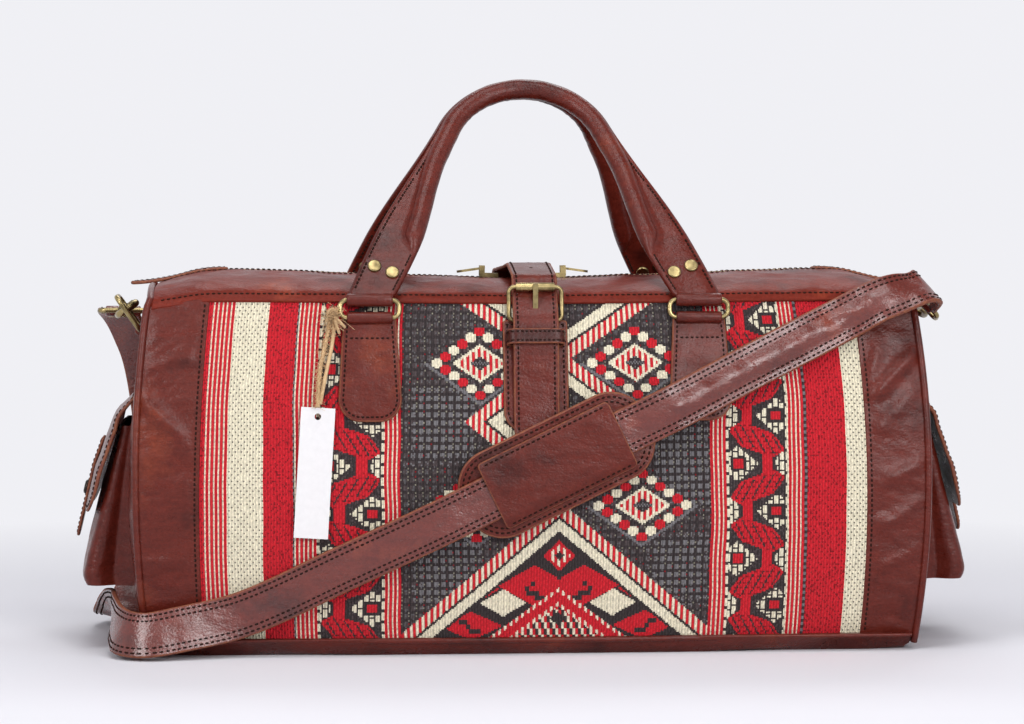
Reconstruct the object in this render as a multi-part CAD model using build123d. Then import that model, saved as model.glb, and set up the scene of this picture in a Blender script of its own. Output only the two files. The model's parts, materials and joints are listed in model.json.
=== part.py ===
from build123d import *
import math
import os

# Kilim and leather travel bag, in millimetres
# +X runs along the bag, the front faces -Y, +Z is up, the floor is at zero

# Body
HALF_LENGTH = 262
END_BULGE = 8
END_TOP_INSET = 3
OVERRUN = 12
BELLY_HALF_DEPTH = 121
BELLY_END_LOSS = 12
BELLY_HEIGHT = 110
BASE_INSET = 16
BASE_CORNER_INSET = 13
LOW_INSET = 11
LOW_HEIGHT = 12
BASE_CORNER_HEIGHT = 4
RIDGE_HEIGHT = 260
FACING_DROP = 16
SEAM_INSET = 22
SEAM_HEIGHT = RIDGE_HEIGHT - FACING_DROP
SEAM_SAG = 2
SEAM_END_DROP = 10
RIDGE_SAG = 8
RIDGE_END_DROP = 24
FACING_CROWN = 3
ZIP_FLAT_HALF = 11
WALL = 3
STATION_SHARES = (-1, -0.8, -0.4, 0, 0.4, 0.8, 1)
SHOULDER_SHARE = 0.8
SEAM_SIDE_SHARE = 0.8
SEAM_RISE_SHARE = 0.6

# Seams between the panels
BASE_SEAM_HEIGHT = 10
SEAM_LIP = 2
ZIP_OPENING_HALF = 10
CORNER_TOP_WIDTH = 41
CORNER_MID_WIDTH = 33
CORNER_LOW_WIDTH = 36
KILIM_TOP_HALF = HALF_LENGTH - CORNER_TOP_WIDTH
KILIM_MID_HALF = HALF_LENGTH - CORNER_MID_WIDTH
KILIM_LOW_HALF = HALF_LENGTH - CORNER_LOW_WIDTH
PIPING_WIDTH = 5
PIPING_PROUD = 2.5
WELT_HEIGHT = 4
WELT_PROUD = 2

# Clearances and leather
SEAT_GAP = 0.2
LAY_GAP = 0.35
RUNNING_GAP = 0.08
LEATHER = 2.2

# Zip
CHAIN_END_GAP = 3.7
CHAIN_HALF_WIDTH = 2.5
CHAIN_WEB = 0.8
CHAIN_TOOTH = 1.4
CHAIN_PITCH = 4
CHAIN_START = 0.5
TOOTH_FILL_SHARE = 0.6
SLIDER_PLACE = 24
SLIDER_LENGTH = 13
SLIDER_WIDTH = 10
SLIDER_ROOF = 2
SLIDER_CLEAR = 0.4
BAIL_HEIGHT = 3.2
BAIL_PIN_RADIUS = 1
BAIL_CHEEK = 1.6
BAIL_CHEEK_GAP = 0.2
BAIL_REACH = 5
PULL_LENGTH = 18
PULL_WIDTH = 9
PULL_THICKNESS = 1.6
PULL_EYE_RADIUS = 1.9
PULL_EYE_WIDTH = 4
PULL_DROOP = 10
ZIP_TAB_WIDTH = 28
ZIP_TAB_SEAT = 18
ZIP_TAB_REACH = 50
ZIP_TAB_ROUND = 10

# Handles
HANDLE_HALF_SPREAD = 112
HANDLE_RISE = 146
GRIP_RADIUS = 7
GRIP_GAP = 0.4
LEG_LEAN = 23
FOOT_WIDTH = 32
FOOT_THICKNESS = 5
FOOT_FLAT = 46
FOOT_LENGTH = 76
GRIP_START = 56
HANDLE_LOOP_WIDTH = 31
RIVET_PLACE = 25
RIVET_HALF_SPACING = 6.5
RIVET_CAP_RADIUS = 4.7
RIVET_CAP_HEIGHT = 1.8
RIVET_CAP_ROUND = 1.2
RIVET_SHANK_RADIUS = 1.6

# Wire rings of the handles and their tabs
RING_WIRE_RADIUS = 1.7
RING_WIDTH = 40
RING_HEIGHT = 12
RING_CORNER = 5
RING_LEAN = 8
TAB_DROP = 15
TAB_TOP_HEIGHT = SEAM_HEIGHT - TAB_DROP
TAB_LENGTH = 70
TAB_TOP_WIDTH = 36
TAB_FOOT_WIDTH = 47
TAB_CORNER = 15

# Closing strap and buckle
STRAP_WIDTH = 31
STRAP_THICKNESS = 2.4
STRAP_BACK_DROPS = (80, 40, -3)
STRAP_FRONT_DROPS = (62, 102)
STRAP_BEND = 9
STRAP_LIFT = 0.9
STRAP_TIP_ROUND = 10
STRAP_HOLE_RADIUS = 2
ARCH_BACK_OUT = 80
ARCH_BACK_RISE = 5
ARCH_MID_RISE = 8
ARCH_FRONT_IN = 52
ARCH_FRONT_RISE = 11
BUCKLE_DROP = 18
BUCKLE_BAR_HEIGHT = SEAM_HEIGHT - BUCKLE_DROP
BUCKLE_BAR_RADIUS = 1.5
BUCKLE_BAR_OUT = 4.2
BUCKLE_WIDTH = 36
BUCKLE_LENGTH = 22
BUCKLE_CORNER = 4
ROLLER_RADIUS = 3
ROLLER_LENGTH = 26
UNDER_ROLLER_OUT = 3
ABOVE_ROLLER_RISE = 8
PRONG_WIDTH = 3.4
PRONG_THICKNESS = 2.2
PRONG_EYE_RADIUS = 2.9
PRONG_OVERHANG = 2.5
PRONG_SLOT_HALF = 2.4
PRONG_SLOT_LOW = 1
PRONG_SLOT_HIGH = 17
PRONG_SLOT_DEPTH = 15
CHAPE_LEATHER = 1.8
CHAPE_INNER = 3.2
CHAPE_OUTER = 13
TONGUE_DROP = 7
TONGUE_LAND = 34
KEEPER_PLACE = 15
KEEPER_HEIGHT = 10
KEEPER_CLEAR = 1.4
KEEPER_LEATHER = 2
PATCH_WIDTH = 44
PATCH_LENGTH = 74
PATCH_CORNER = 14

# Rings on the bag ends
END_BAR_DROP = 26
END_BAR_HEIGHT = SEAM_HEIGHT - END_BAR_DROP
END_RING_WIRE_RADIUS = 1.8
END_RING_WIDTH = 38
END_RING_HEIGHT = 28
END_RING_CORNER = 6
END_RING_LEAN = 35
END_TAB_WIDTH = 30
END_TAB_LOOP = 24
END_TAB_LENGTH = 29

# Pockets on the bag ends
POCKET_HALF_WIDTH = 65
POCKET_BOTTOM = 44
POCKET_TOP_DROP = 22
POCKET_FOOT_DEPTH = 43
POCKET_TOP_DEPTH = 11
POCKET_FOLD = 10
POCKET_TOP_FOLD = 4
POCKET_ROUND = 6
FLAP_ROOT_DROP = 42
FLAP_ROOT_HEIGHT = END_BAR_HEIGHT - FLAP_ROOT_DROP
POCKET_TOP = FLAP_ROOT_HEIGHT - POCKET_TOP_DROP
FLAP_HALF_WIDTH = 69
FLAP_DROPS = (14, 52, 82)
FLAP_OUTS = (15, 29, 36)
FLAP_BEND = 9
FLAP_CORNER = 24
FLAP_TAB_WIDTH = 24
FLAP_TAB_REACH = 22
FLAP_TAB_START_SHARE = 0.45
STUD_PLACE_SHARE = 0.86
STUD_RADIUS = 5
STUD_HEIGHT = 3
STUD_ROUND = 1.8
STUD_SHANK_RADIUS = 1.6

# Shoulder strap, pad and snap hooks
SLING_WIDTH = 31
SLING_THICKNESS = 3.4
SLING_SLOPE = 26
SLING_STRAIGHT = 92
SLING_SPAN = 6
SLING_OFF_FRONT = 6.5
PAD_PLACE_SHARE = 0.05
PAD_HEIGHT_SHARE = 0.534
PAD_LENGTH = 138
PAD_WIDTH = 62
PAD_THICKNESS = 3
PAD_CORNER = 26
SLEEVE_LENGTH = 98
SLEEVE_WIDTH = 49
SLEEVE_WALL = 2
SLEEVE_CORNER = 7
SLEEVE_SIDE_GAP = 0.8
PAD_STACK = 5.6
HOOK_WIRE_RADIUS = 2.6
HOOK_BOW_RADIUS = 7
HOOK_REACH = 45
HOOK_TIP_BACK = 5
HOOK_SPREAD_PLACE = 32
HOOK_START = 26
EYE_WIRE_RADIUS = 1.8
EYE_WIDTH = 34
EYE_LENGTH = 15
EYE_CORNER = 4
EYE_LOOP_WIDTH = 25
EYE_LOOP_LEATHER = 2
COLLAR_RADIUS = 5
COLLAR_START = 13
COLLAR_LENGTH = 10
STEM_RADIUS = 2.3
STEM_HEAD_RADIUS = 3.6
STEM_HEAD_LENGTH = 2.6
STEM_HEAD_GAP = 0.4
SHOULDER_RADIUS = 4.2
SHOULDER_LENGTH = 4
GATE_PIN_RADIUS = 1
GATE_EYE_RADIUS = 2.1
GATE_HALF_THICKNESS = 1.7
GATE_PIVOT_ALONG = 31
GATE_PIVOT_SIDE = 5.4
GATE_TIP_GAP = 0.35
EAR_THICKNESS = 1.2
EAR_GAP = 0.15
RING_LEG_SHARE = 0.62
SLING_RIVET_PLACE = 19
SLING_RIVET_HALF_SPACING = 5
RIGHT_AIM_SHARES = (0.12, 0.95, -0.2)
LEFT_AIM_SHARES = (0.1, -0.99, 0.07)
RIGHT_ACROSS_SHARES = (0.6, -0.3, -0.7)
LEFT_ACROSS_SHARES = (1, 0, 0)

# Swing tag and its twine
TAG_WIDTH = 23
TAG_LENGTH = 88
TAG_THICKNESS = 0.8
TAG_TILT = 3.5
TAG_PLACE = 147
TAG_DROP = 60
TAG_TOP_HEIGHT = TAB_TOP_HEIGHT - TAG_DROP
TAG_STAND_OFF = 3.5
TAG_HOLE_RADIUS = 2.2
TAG_HOLE_PLACE = 6
TWINE_RADIUS = 1.5
TWINE_PLACES = (-137, -141, -147, -147.4)
TWINE_RISES = (6, -14, -38, -59.6)
TWINE_STAND_OFF = 2.6
TWINE_BEND = 12


def station_half():
    return HALF_LENGTH + END_BULGE + OVERRUN


def along_top(share, height, sag, end_drop):
    # Height of a line that sags at the middle, peaks at the shoulders and drops at the ends
    place = abs(share)
    if place <= SHOULDER_SHARE:
        return height - sag * (1 - place / SHOULDER_SHARE)
    return height - end_drop * (place - SHOULDER_SHARE) / (1 - SHOULDER_SHARE)


def ridge_height(share):
    return along_top(share, RIDGE_HEIGHT, RIDGE_SAG, RIDGE_END_DROP)


def seam_height(share):
    return along_top(share, SEAM_HEIGHT, SEAM_SAG, SEAM_END_DROP)


def belly_half(share):
    return BELLY_HALF_DEPTH - BELLY_END_LOSS * share * share


def side_points(share, grown):
    # Low edge, belly and top seam of one long side, as distance from the middle and height
    half = belly_half(share)
    low = (half - LOW_INSET + grown, LOW_HEIGHT)
    belly = (half + grown, BELLY_HEIGHT)
    seam = (half - SEAM_INSET + grown * SEAM_SIDE_SHARE, seam_height(share) + grown * SEAM_RISE_SHARE)
    return low, belly, seam


def section(share, grown):
    half = belly_half(share)
    low, belly, seam = side_points(share, grown)
    base = (half - BASE_INSET + grown, -grown)
    corner = (half - BASE_CORNER_INSET + grown, BASE_CORNER_HEIGHT - grown)
    zip_edge = (ZIP_FLAT_HALF, ridge_height(share) + grown)
    crown = ((seam[0] + zip_edge[0]) / 2, (seam[1] + zip_edge[1]) / 2 + FACING_CROWN)

    def left(point):
        return (-point[0], point[1])

    edges = [
        Line(base, left(base)),
        ThreePointArc(left(base), left(corner), left(low)),
        ThreePointArc(left(low), left(belly), left(seam)),
        ThreePointArc(left(seam), left(crown), left(zip_edge)),
        Line(left(zip_edge), zip_edge),
        ThreePointArc(zip_edge, crown, seam),
        ThreePointArc(seam, belly, low),
        ThreePointArc(low, corner, base),
    ]
    place = Plane(origin=(share * station_half(), 0, 0), x_dir=(0, 1, 0), z_dir=(1, 0, 0))
    return place * make_face(edges)


def body_block(grown):
    return loft([section(share, grown).face() for share in STATION_SHARES], ruled=True)


def circle_through(first, second, third):
    ax, ay = first
    bx, by = second
    cx, cy = third
    det = 2 * (ax * (by - cy) + bx * (cy - ay) + cx * (ay - by))
    a2 = ax * ax + ay * ay
    b2 = bx * bx + by * by
    c2 = cx * cx + cy * cy
    ox = (a2 * (by - cy) + b2 * (cy - ay) + c2 * (ay - by)) / det
    oy = (a2 * (cx - bx) + b2 * (ax - cx) + c2 * (bx - ax)) / det
    return ox, oy, math.hypot(ax - ox, ay - oy)


def side_depth(x, z, grown=0):
    # Distance of the long side's face from the middle plane at a place on it
    share = max(-1, min(1, x / station_half()))
    index = 0
    while STATION_SHARES[index + 1] < share:
        index += 1
    low_share, high_share = STATION_SHARES[index], STATION_SHARES[index + 1]
    depths = []
    for station in (low_share, high_share):
        ox, oz, radius = circle_through(*side_points(station, grown))
        depths.append(ox + math.sqrt(radius * radius - (z - oz) ** 2))
    blend = (share - low_share) / (high_share - low_share)
    return depths[0] + (depths[1] - depths[0]) * blend


def side_lean_cosine(x, z):
    # Cosine of the lean of the long side's face at a place on it
    slope = (side_depth(x, z + SEAT_GAP) - side_depth(x, z - SEAT_GAP)) / (2 * SEAT_GAP)
    return 1 / math.hypot(1, slope)


def end_place(z, grown=0):
    # Distance of the bag end's face from the middle at a height
    ox, oz, radius = circle_through(*end_points(grown))
    return ox + math.sqrt(radius * radius - (z - oz) ** 2)


def end_points(grown):
    return (
        (HALF_LENGTH + grown, 0),
        (HALF_LENGTH + END_BULGE + grown, BELLY_HEIGHT),
        (HALF_LENGTH - END_TOP_INSET + grown, RIDGE_HEIGHT),
    )


def end_clip(grown):
    # Everything between the two bag ends
    low, mid, top = end_points(grown)
    under = (low[0], -OVERRUN)
    over = (top[0], RIDGE_HEIGHT + OVERRUN)

    def left(point):
        return (-point[0], point[1])

    edges = [
        Line(left(under), under),
        Line(under, low),
        ThreePointArc(low, mid, top),
        Line(top, over),
        Line(over, left(over)),
        Line(left(over), left(top)),
        ThreePointArc(left(top), left(mid), left(low)),
        Line(left(low), left(under)),
    ]
    face = Plane.XZ * make_face(edges)
    return extrude(face, amount=BELLY_HALF_DEPTH + OVERRUN, both=True)


def span_box(low, high):
    # Box between two corners
    size = [b - a for a, b in zip(low, high)]
    middle = [(a + b) / 2 for a, b in zip(low, high)]
    return Pos(*middle) * Box(*size)


def largest(shape):
    return shape.solids().sort_by(SortBy.VOLUME)[-1]


def far_half():
    return station_half() + OVERRUN


def far_depth():
    return BELLY_HALF_DEPTH + OVERRUN


def far_height():
    return RIDGE_HEIGHT + OVERRUN


def below_seam():
    # Everything under the seam between the side panels and the top facings
    top = [(share * station_half(), seam_height(share) - SEAM_LIP) for share in STATION_SHARES]
    points = [(-station_half(), -OVERRUN)] + top + [(station_half(), -OVERRUN)]
    face = Plane.XZ * make_face(Polyline(*points, close=True))
    return extrude(face, amount=far_depth(), both=True)


def kilim_prism():
    # Everything between the curved seams of the woven panels, towards the front
    low = (KILIM_LOW_HALF, BASE_SEAM_HEIGHT)
    mid = (KILIM_MID_HALF, BELLY_HEIGHT)
    top = (KILIM_TOP_HALF, SEAM_HEIGHT)

    def left(point):
        return (-point[0], point[1])

    edges = [
        Line(left(low), low),
        ThreePointArc(low, mid, top),
        Line(top, left(top)),
        ThreePointArc(left(top), left(mid), left(low)),
    ]
    face = Plane.XZ * make_face(edges)
    return extrude(face, amount=far_depth())


def flipped(shape):
    # The same piece on the back
    return mirror(shape, about=Plane.XZ)


def swapped(shape):
    # The same piece on the other end
    return mirror(shape, about=Plane.YZ)


def wire_ring(width, height, corner, radius):
    # Bent wire ring, its lower bar along the local X axis, standing along local Y
    outline = Pos(0, height / 2) * RectangleRounded(width, height, corner)
    path = outline.wire()
    return sweep(Plane(origin=path @ 0, z_dir=path % 0) * Circle(radius), path=path)


def strip(points, bend, thickness, side):
    # Flat outline of a sheet that follows a bent line
    line = FilletPolyline(*points, radius=bend)
    return Face(Wire(line.edges()).offset_2d(thickness, side=side, closed=True))


def rivet(thickness):
    # Two domed caps on a shank, centred on the leather that they hold
    cap = Cylinder(RIVET_CAP_RADIUS, RIVET_CAP_HEIGHT, align=(Align.CENTER, Align.CENTER, Align.MIN))
    cap = fillet(cap.edges().sort_by(Axis.Z)[-1], RIVET_CAP_ROUND)
    upper = Pos(0, 0, thickness / 2) * cap
    shank = Cylinder(RIVET_SHANK_RADIUS, thickness + RIVET_CAP_HEIGHT)
    return upper + mirror(upper, about=Plane.XY) + shank


def build_body(parts):
    outer = body_block(0)
    inner = body_block(-WALL)
    clip_out = end_clip(0)
    clip_in = end_clip(-WALL)
    tube = (outer - inner) & clip_in
    ends = (outer & clip_out) - clip_in
    under = below_seam()
    front_space = span_box((-far_half(), -far_depth(), BASE_SEAM_HEIGHT), (far_half(), 0, far_height()))
    base_space = span_box((-far_half(), -far_depth(), -OVERRUN), (far_half(), far_depth(), BASE_SEAM_HEIGHT))
    side = tube & under & front_space
    prism = kilim_prism()
    kilim = side & prism
    corners = (side - prism).solids().sort_by(Axis.X)
    parts["base_panel"] = tube & base_space
    parts["front_kilim_panel"] = kilim
    parts["back_kilim_panel"] = flipped(kilim)
    parts["front_left_corner_panel"] = corners[0]
    parts["front_right_corner_panel"] = corners[-1]
    parts["back_left_corner_panel"] = flipped(corners[0])
    parts["back_right_corner_panel"] = flipped(corners[-1])
    end_solids = ends.solids().sort_by(Axis.X)
    parts["left_end_panel"] = end_solids[0]
    parts["right_end_panel"] = end_solids[-1]
    roof = tube - under
    facing_space = span_box(
        (-far_half(), -far_depth(), BELLY_HEIGHT), (far_half(), -ZIP_OPENING_HALF, far_height())
    )
    facing = largest(roof & facing_space)
    parts["front_top_facing"] = facing
    parts["back_top_facing"] = flipped(facing)
    tape_space = span_box(
        (-far_half(), -ZIP_OPENING_HALF, BELLY_HEIGHT), (far_half(), ZIP_OPENING_HALF, far_height())
    )
    parts["zip_tape"] = largest(tube & tape_space)
    above_floor = span_box((-far_half(), -far_depth(), 0), (far_half(), far_depth(), far_height()))
    zip_gap = span_box(
        (-far_half(), -ZIP_TAB_WIDTH / 2, BELLY_HEIGHT), (far_half(), ZIP_TAB_WIDTH / 2, far_height())
    )
    piping_band = (clip_out - end_clip(-PIPING_WIDTH)) & above_floor
    parts["end_piping"] = ((body_block(PIPING_PROUD) - outer) & piping_band) - zip_gap
    welt_space = span_box(
        (-far_half(), -far_depth(), BASE_SEAM_HEIGHT - WELT_HEIGHT / 2),
        (far_half(), far_depth(), BASE_SEAM_HEIGHT + WELT_HEIGHT / 2),
    )
    parts["base_welts"] = (body_block(WELT_PROUD) - outer) & welt_space & end_clip(-PIPING_WIDTH)


def ridge_slope():
    return math.degrees(math.atan2(RIDGE_SAG, SHOULDER_SHARE * station_half()))


def ridge_frame(along):
    # Frame on the right half of the ridge, local X up its slope, local Z off the tape
    slope = math.radians(ridge_slope())
    x_dir = (math.cos(slope), 0, math.sin(slope))
    origin = (along * math.cos(slope), 0, ridge_height(0) + along * math.sin(slope))
    return Plane(origin=origin, x_dir=x_dir, z_dir=(-math.sin(slope), 0, math.cos(slope)))


def zip_tab_start():
    # Distance along the slope of the ridge at which the leather over the end of the chain starts
    return SHOULDER_SHARE * station_half() / math.cos(math.radians(ridge_slope())) - ZIP_TAB_SEAT


def build_zip(parts):
    count = int((zip_tab_start() - CHAIN_END_GAP - CHAIN_START) / CHAIN_PITCH)
    comb = [(CHAIN_START, 0), (CHAIN_START, CHAIN_WEB)]
    for index in range(count):
        left = CHAIN_START + (index + (1 - TOOTH_FILL_SHARE) / 2) * CHAIN_PITCH
        right = left + TOOTH_FILL_SHARE * CHAIN_PITCH
        top = CHAIN_WEB + CHAIN_TOOTH
        comb += [(left, CHAIN_WEB), (left, top), (right, top), (right, CHAIN_WEB)]
    comb += [(CHAIN_START + count * CHAIN_PITCH, CHAIN_WEB), (CHAIN_START + count * CHAIN_PITCH, 0)]
    frame = ridge_frame(0)
    upright = Plane(origin=frame.origin, x_dir=frame.x_dir, z_dir=(0, -1, 0))
    chain = upright * extrude(make_face(Polyline(*comb, close=True)), amount=CHAIN_HALF_WIDTH, both=True)
    parts["zip_teeth"] = Compound([chain, swapped(chain)])

    chain_top = CHAIN_WEB + CHAIN_TOOTH
    roof_low = chain_top + SLIDER_CLEAR
    roof_top = roof_low + SLIDER_ROOF
    slot_half = CHAIN_HALF_WIDTH + SLIDER_CLEAR
    slider = span_box(
        (-SLIDER_LENGTH / 2, -SLIDER_WIDTH / 2, SEAT_GAP), (SLIDER_LENGTH / 2, SLIDER_WIDTH / 2, roof_top)
    )
    slider -= span_box((-SLIDER_LENGTH, -slot_half, -SLIDER_CLEAR), (SLIDER_LENGTH, slot_half, roof_low))
    pin_x = BAIL_REACH
    pin_z = roof_top + BAIL_HEIGHT
    cheek_in = PULL_EYE_WIDTH / 2 + BAIL_CHEEK_GAP
    for sign in (-1, 1):
        near, far = sorted((sign * cheek_in, sign * (cheek_in + BAIL_CHEEK)))
        slider += span_box(
            (pin_x - PULL_EYE_RADIUS, near, roof_low), (pin_x + PULL_EYE_RADIUS, far, pin_z + PULL_EYE_RADIUS)
        )
    pin = Pos(pin_x, 0, pin_z) * Rot(90, 0, 0) * Cylinder(BAIL_PIN_RADIUS, 2 * cheek_in + BAIL_CHEEK)
    slider += pin
    eye = Rot(90, 0, 0) * Cylinder(PULL_EYE_RADIUS, PULL_EYE_WIDTH)
    plate = Pos(PULL_LENGTH / 2, 0) * RectangleRounded(PULL_LENGTH, PULL_WIDTH, PULL_EYE_WIDTH)
    plate = extrude(plate, amount=PULL_THICKNESS / 2, both=True)
    neck_cut = span_box(
        (-PULL_LENGTH, -PULL_WIDTH, -PULL_EYE_RADIUS),
        (PULL_EYE_RADIUS + BAIL_CHEEK, PULL_WIDTH, PULL_EYE_RADIUS),
    )
    neck = span_box(
        (0, -PULL_EYE_WIDTH / 2, -PULL_THICKNESS / 2),
        (PULL_EYE_RADIUS + 2 * BAIL_CHEEK, PULL_EYE_WIDTH / 2, PULL_THICKNESS / 2),
    )
    hole = Rot(90, 0, 0) * Cylinder(BAIL_PIN_RADIUS + RUNNING_GAP, 2 * PULL_EYE_WIDTH)
    pull = (plate - neck_cut) + neck + eye - hole
    place = ridge_frame(SLIDER_PLACE)
    slider = place * slider
    pull = place * Pos(pin_x, 0, pin_z) * Rot(0, PULL_DROOP, 0) * pull
    parts["zip_slider_right"] = slider
    parts["zip_pull_right"] = pull
    parts["zip_slider_left"] = swapped(slider)
    parts["zip_pull_left"] = swapped(pull)

    outline = Pos(zip_tab_start() + (ZIP_TAB_SEAT + ZIP_TAB_REACH) / 2, 0) * RectangleRounded(
        ZIP_TAB_SEAT + ZIP_TAB_REACH, ZIP_TAB_WIDTH, ZIP_TAB_ROUND
    )
    tab = ridge_frame(0) * Pos(0, 0, SEAT_GAP) * extrude(outline, amount=LEATHER)
    parts["zip_end_tabs"] = Compound([tab, swapped(tab)])


def ring_bar_place():
    # Depth and height of the lower bar of a handle ring on the front
    loop = RING_WIRE_RADIUS + RUNNING_GAP + LEATHER
    off = (SEAT_GAP + loop) / side_lean_cosine(HANDLE_HALF_SPREAD, TAB_TOP_HEIGHT)
    return -(side_depth(HANDLE_HALF_SPREAD, TAB_TOP_HEIGHT) + off), TAB_TOP_HEIGHT


def ring_top_place():
    # Depth and height of the upper bar of a handle ring on the front
    depth, height = ring_bar_place()
    lean = math.radians(RING_LEAN)
    return depth + RING_HEIGHT * math.sin(lean), height + RING_HEIGHT * math.cos(lean)


def build_rings(parts):
    depth, height = ring_bar_place()
    lean = math.radians(RING_LEAN)
    bar_frame = Plane(
        origin=(HANDLE_HALF_SPREAD, depth, height),
        x_dir=(1, 0, 0),
        z_dir=(0, -math.cos(lean), math.sin(lean)),
    )
    ring = bar_frame * wire_ring(RING_WIDTH, RING_HEIGHT, RING_CORNER, RING_WIRE_RADIUS)
    parts["ring_front_right"] = ring
    parts["ring_front_left"] = swapped(ring)
    parts["ring_back_right"] = flipped(ring)
    parts["ring_back_left"] = flipped(swapped(ring))

    foot = height - TAB_LENGTH
    outline = Plane.XZ * make_face(
        Polyline(
            (HANDLE_HALF_SPREAD - TAB_TOP_WIDTH / 2, height),
            (HANDLE_HALF_SPREAD + TAB_TOP_WIDTH / 2, height),
            (HANDLE_HALF_SPREAD + TAB_FOOT_WIDTH / 2, foot),
            (HANDLE_HALF_SPREAD - TAB_FOOT_WIDTH / 2, foot),
            close=True,
        )
    )
    prism = extrude(outline, amount=far_depth())
    low_edges = prism.edges().filter_by(Axis.Y).sort_by(Axis.Z)[:2]
    prism = fillet(low_edges, TAB_CORNER)
    leaf = largest((body_block(SEAT_GAP + LEATHER) & prism) - body_block(SEAT_GAP))
    loop_radius = RING_WIRE_RADIUS + RUNNING_GAP + LEATHER
    at_bar = Pos(HANDLE_HALF_SPREAD, depth, height) * Rot(0, 90, 0)
    loop = at_bar * Cylinder(loop_radius, HANDLE_LOOP_WIDTH)
    bore = at_bar * Cylinder(RING_WIRE_RADIUS + RUNNING_GAP, RING_WIDTH)
    # The leaf stops below the bar beside the loop, so that the wire is free there
    free = at_bar * Cylinder(loop_radius, RING_WIDTH + OVERRUN)
    tab = (leaf - free) + (leaf & free & span_box(
        (HANDLE_HALF_SPREAD - HANDLE_LOOP_WIDTH / 2, -far_depth(), foot),
        (HANDLE_HALF_SPREAD + HANDLE_LOOP_WIDTH / 2, 0, far_height()),
    )) + loop - bore
    parts["tab_front_right"] = tab
    parts["tab_front_left"] = swapped(tab)
    parts["tab_back_right"] = flipped(tab)
    parts["tab_back_left"] = flipped(swapped(tab))


def build_handles(parts):
    depth, height = ring_top_place()
    inward = -depth - GRIP_RADIUS - GRIP_GAP / 2
    lean = math.atan2(inward, HANDLE_RISE)
    rise = math.hypot(inward, HANDLE_RISE)
    leg = math.radians(LEG_LEAN)
    bow = (HANDLE_HALF_SPREAD * math.cos(leg) - rise * math.sin(leg)) / (1 - math.sin(leg))
    middle = rise - bow
    turn = (-bow * math.cos(leg), middle + bow * math.sin(leg))
    start = (-HANDLE_HALF_SPREAD + GRIP_START * math.sin(leg), GRIP_START * math.cos(leg))

    def right(point):
        return (-point[0], point[1])

    path = Wire(
        [
            Line(start, turn).edge(),
            ThreePointArc(turn, (0, rise), right(turn)).edge(),
            Line(right(turn), right(start)).edge(),
        ]
    )
    grip = sweep(Plane(origin=path @ 0, z_dir=path % 0) * Circle(GRIP_RADIUS), path=path)
    across = Vector(math.cos(leg), -math.sin(leg))
    along = Vector(math.sin(leg), math.cos(leg))
    foot = Vector(-HANDLE_HALF_SPREAD, 0)
    flat = foot + along * FOOT_FLAT
    tip = foot + along * FOOT_LENGTH
    outline = Polyline(
        foot - Vector(FOOT_WIDTH / 2, 0),
        flat - across * (FOOT_WIDTH / 2),
        tip - across * GRIP_RADIUS,
        tip + across * GRIP_RADIUS,
        flat + across * (FOOT_WIDTH / 2),
        foot + Vector(FOOT_WIDTH / 2, 0),
        close=True,
    )
    loop_radius = RING_WIRE_RADIUS + RUNNING_GAP + LEATHER
    plate = extrude(make_face(outline), amount=FOOT_THICKNESS / 2, both=True)
    # The plate stops above the wire beside the loop
    wire_space = Pos(-HANDLE_HALF_SPREAD, 0, 0) * Rot(0, 90, 0) * Cylinder(loop_radius, RING_WIDTH)
    at_bar = Pos(-HANDLE_HALF_SPREAD, 0, 0) * Rot(0, 90, 0)
    loop = at_bar * Cylinder(loop_radius, HANDLE_LOOP_WIDTH)
    bore = at_bar * Cylinder(RING_WIRE_RADIUS + RUNNING_GAP, RING_WIDTH)
    side = (plate - wire_space) + loop - bore
    fasteners = []
    for sign in (-1, 1):
        spot = foot + along * RIVET_PLACE + across * (sign * RIVET_HALF_SPACING)
        fasteners.append(Pos(spot.X, spot.Y, 0) * rivet(FOOT_THICKNESS))
        side -= Pos(spot.X, spot.Y, 0) * Cylinder(RIVET_SHANK_RADIUS, FOOT_THICKNESS * 2)
    handle = grip + side + mirror(side, about=Plane.YZ)
    fasteners += [mirror(item, about=Plane.YZ) for item in fasteners]
    frame = Plane(
        origin=(0, depth, height), x_dir=(1, 0, 0), z_dir=(0, -math.cos(lean), math.sin(lean))
    )
    handle = frame * handle
    fasteners = [frame * item for item in fasteners]
    parts["front_handle"] = handle
    parts["back_handle"] = flipped(handle)
    parts["front_handle_rivets"] = Compound(fasteners)
    parts["back_handle_rivets"] = Compound([flipped(item) for item in fasteners])


def buckle_axes():
    # Origin on the front face, with the directions up along it and off it, in depth and height
    ox, oz, radius = circle_through(*side_points(0, 0))
    depth = side_depth(0, BUCKLE_BAR_HEIGHT)
    off = ((depth - ox) / radius, (BUCKLE_BAR_HEIGHT - oz) / radius)
    up = (-off[1], off[0])
    return depth, up, off


def buckle_point(along, out):
    # Depth, counted from the back, and height of a place over the front face
    depth, up, off = buckle_axes()
    return (
        -(depth + along * up[0] + out * off[0]),
        BUCKLE_BAR_HEIGHT + along * up[1] + out * off[1],
    )


def buckle_frame(along, out, tilt=0):
    # Frame over the front face, local X across, local Y up along it, local Z off it
    depth, up, off = buckle_axes()
    y, z = buckle_point(along, out)
    plane = Plane(origin=(0, y, z), x_dir=(1, 0, 0), z_dir=(0, -off[0], off[1]))
    return plane * Rot(tilt, 0, 0)


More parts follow.
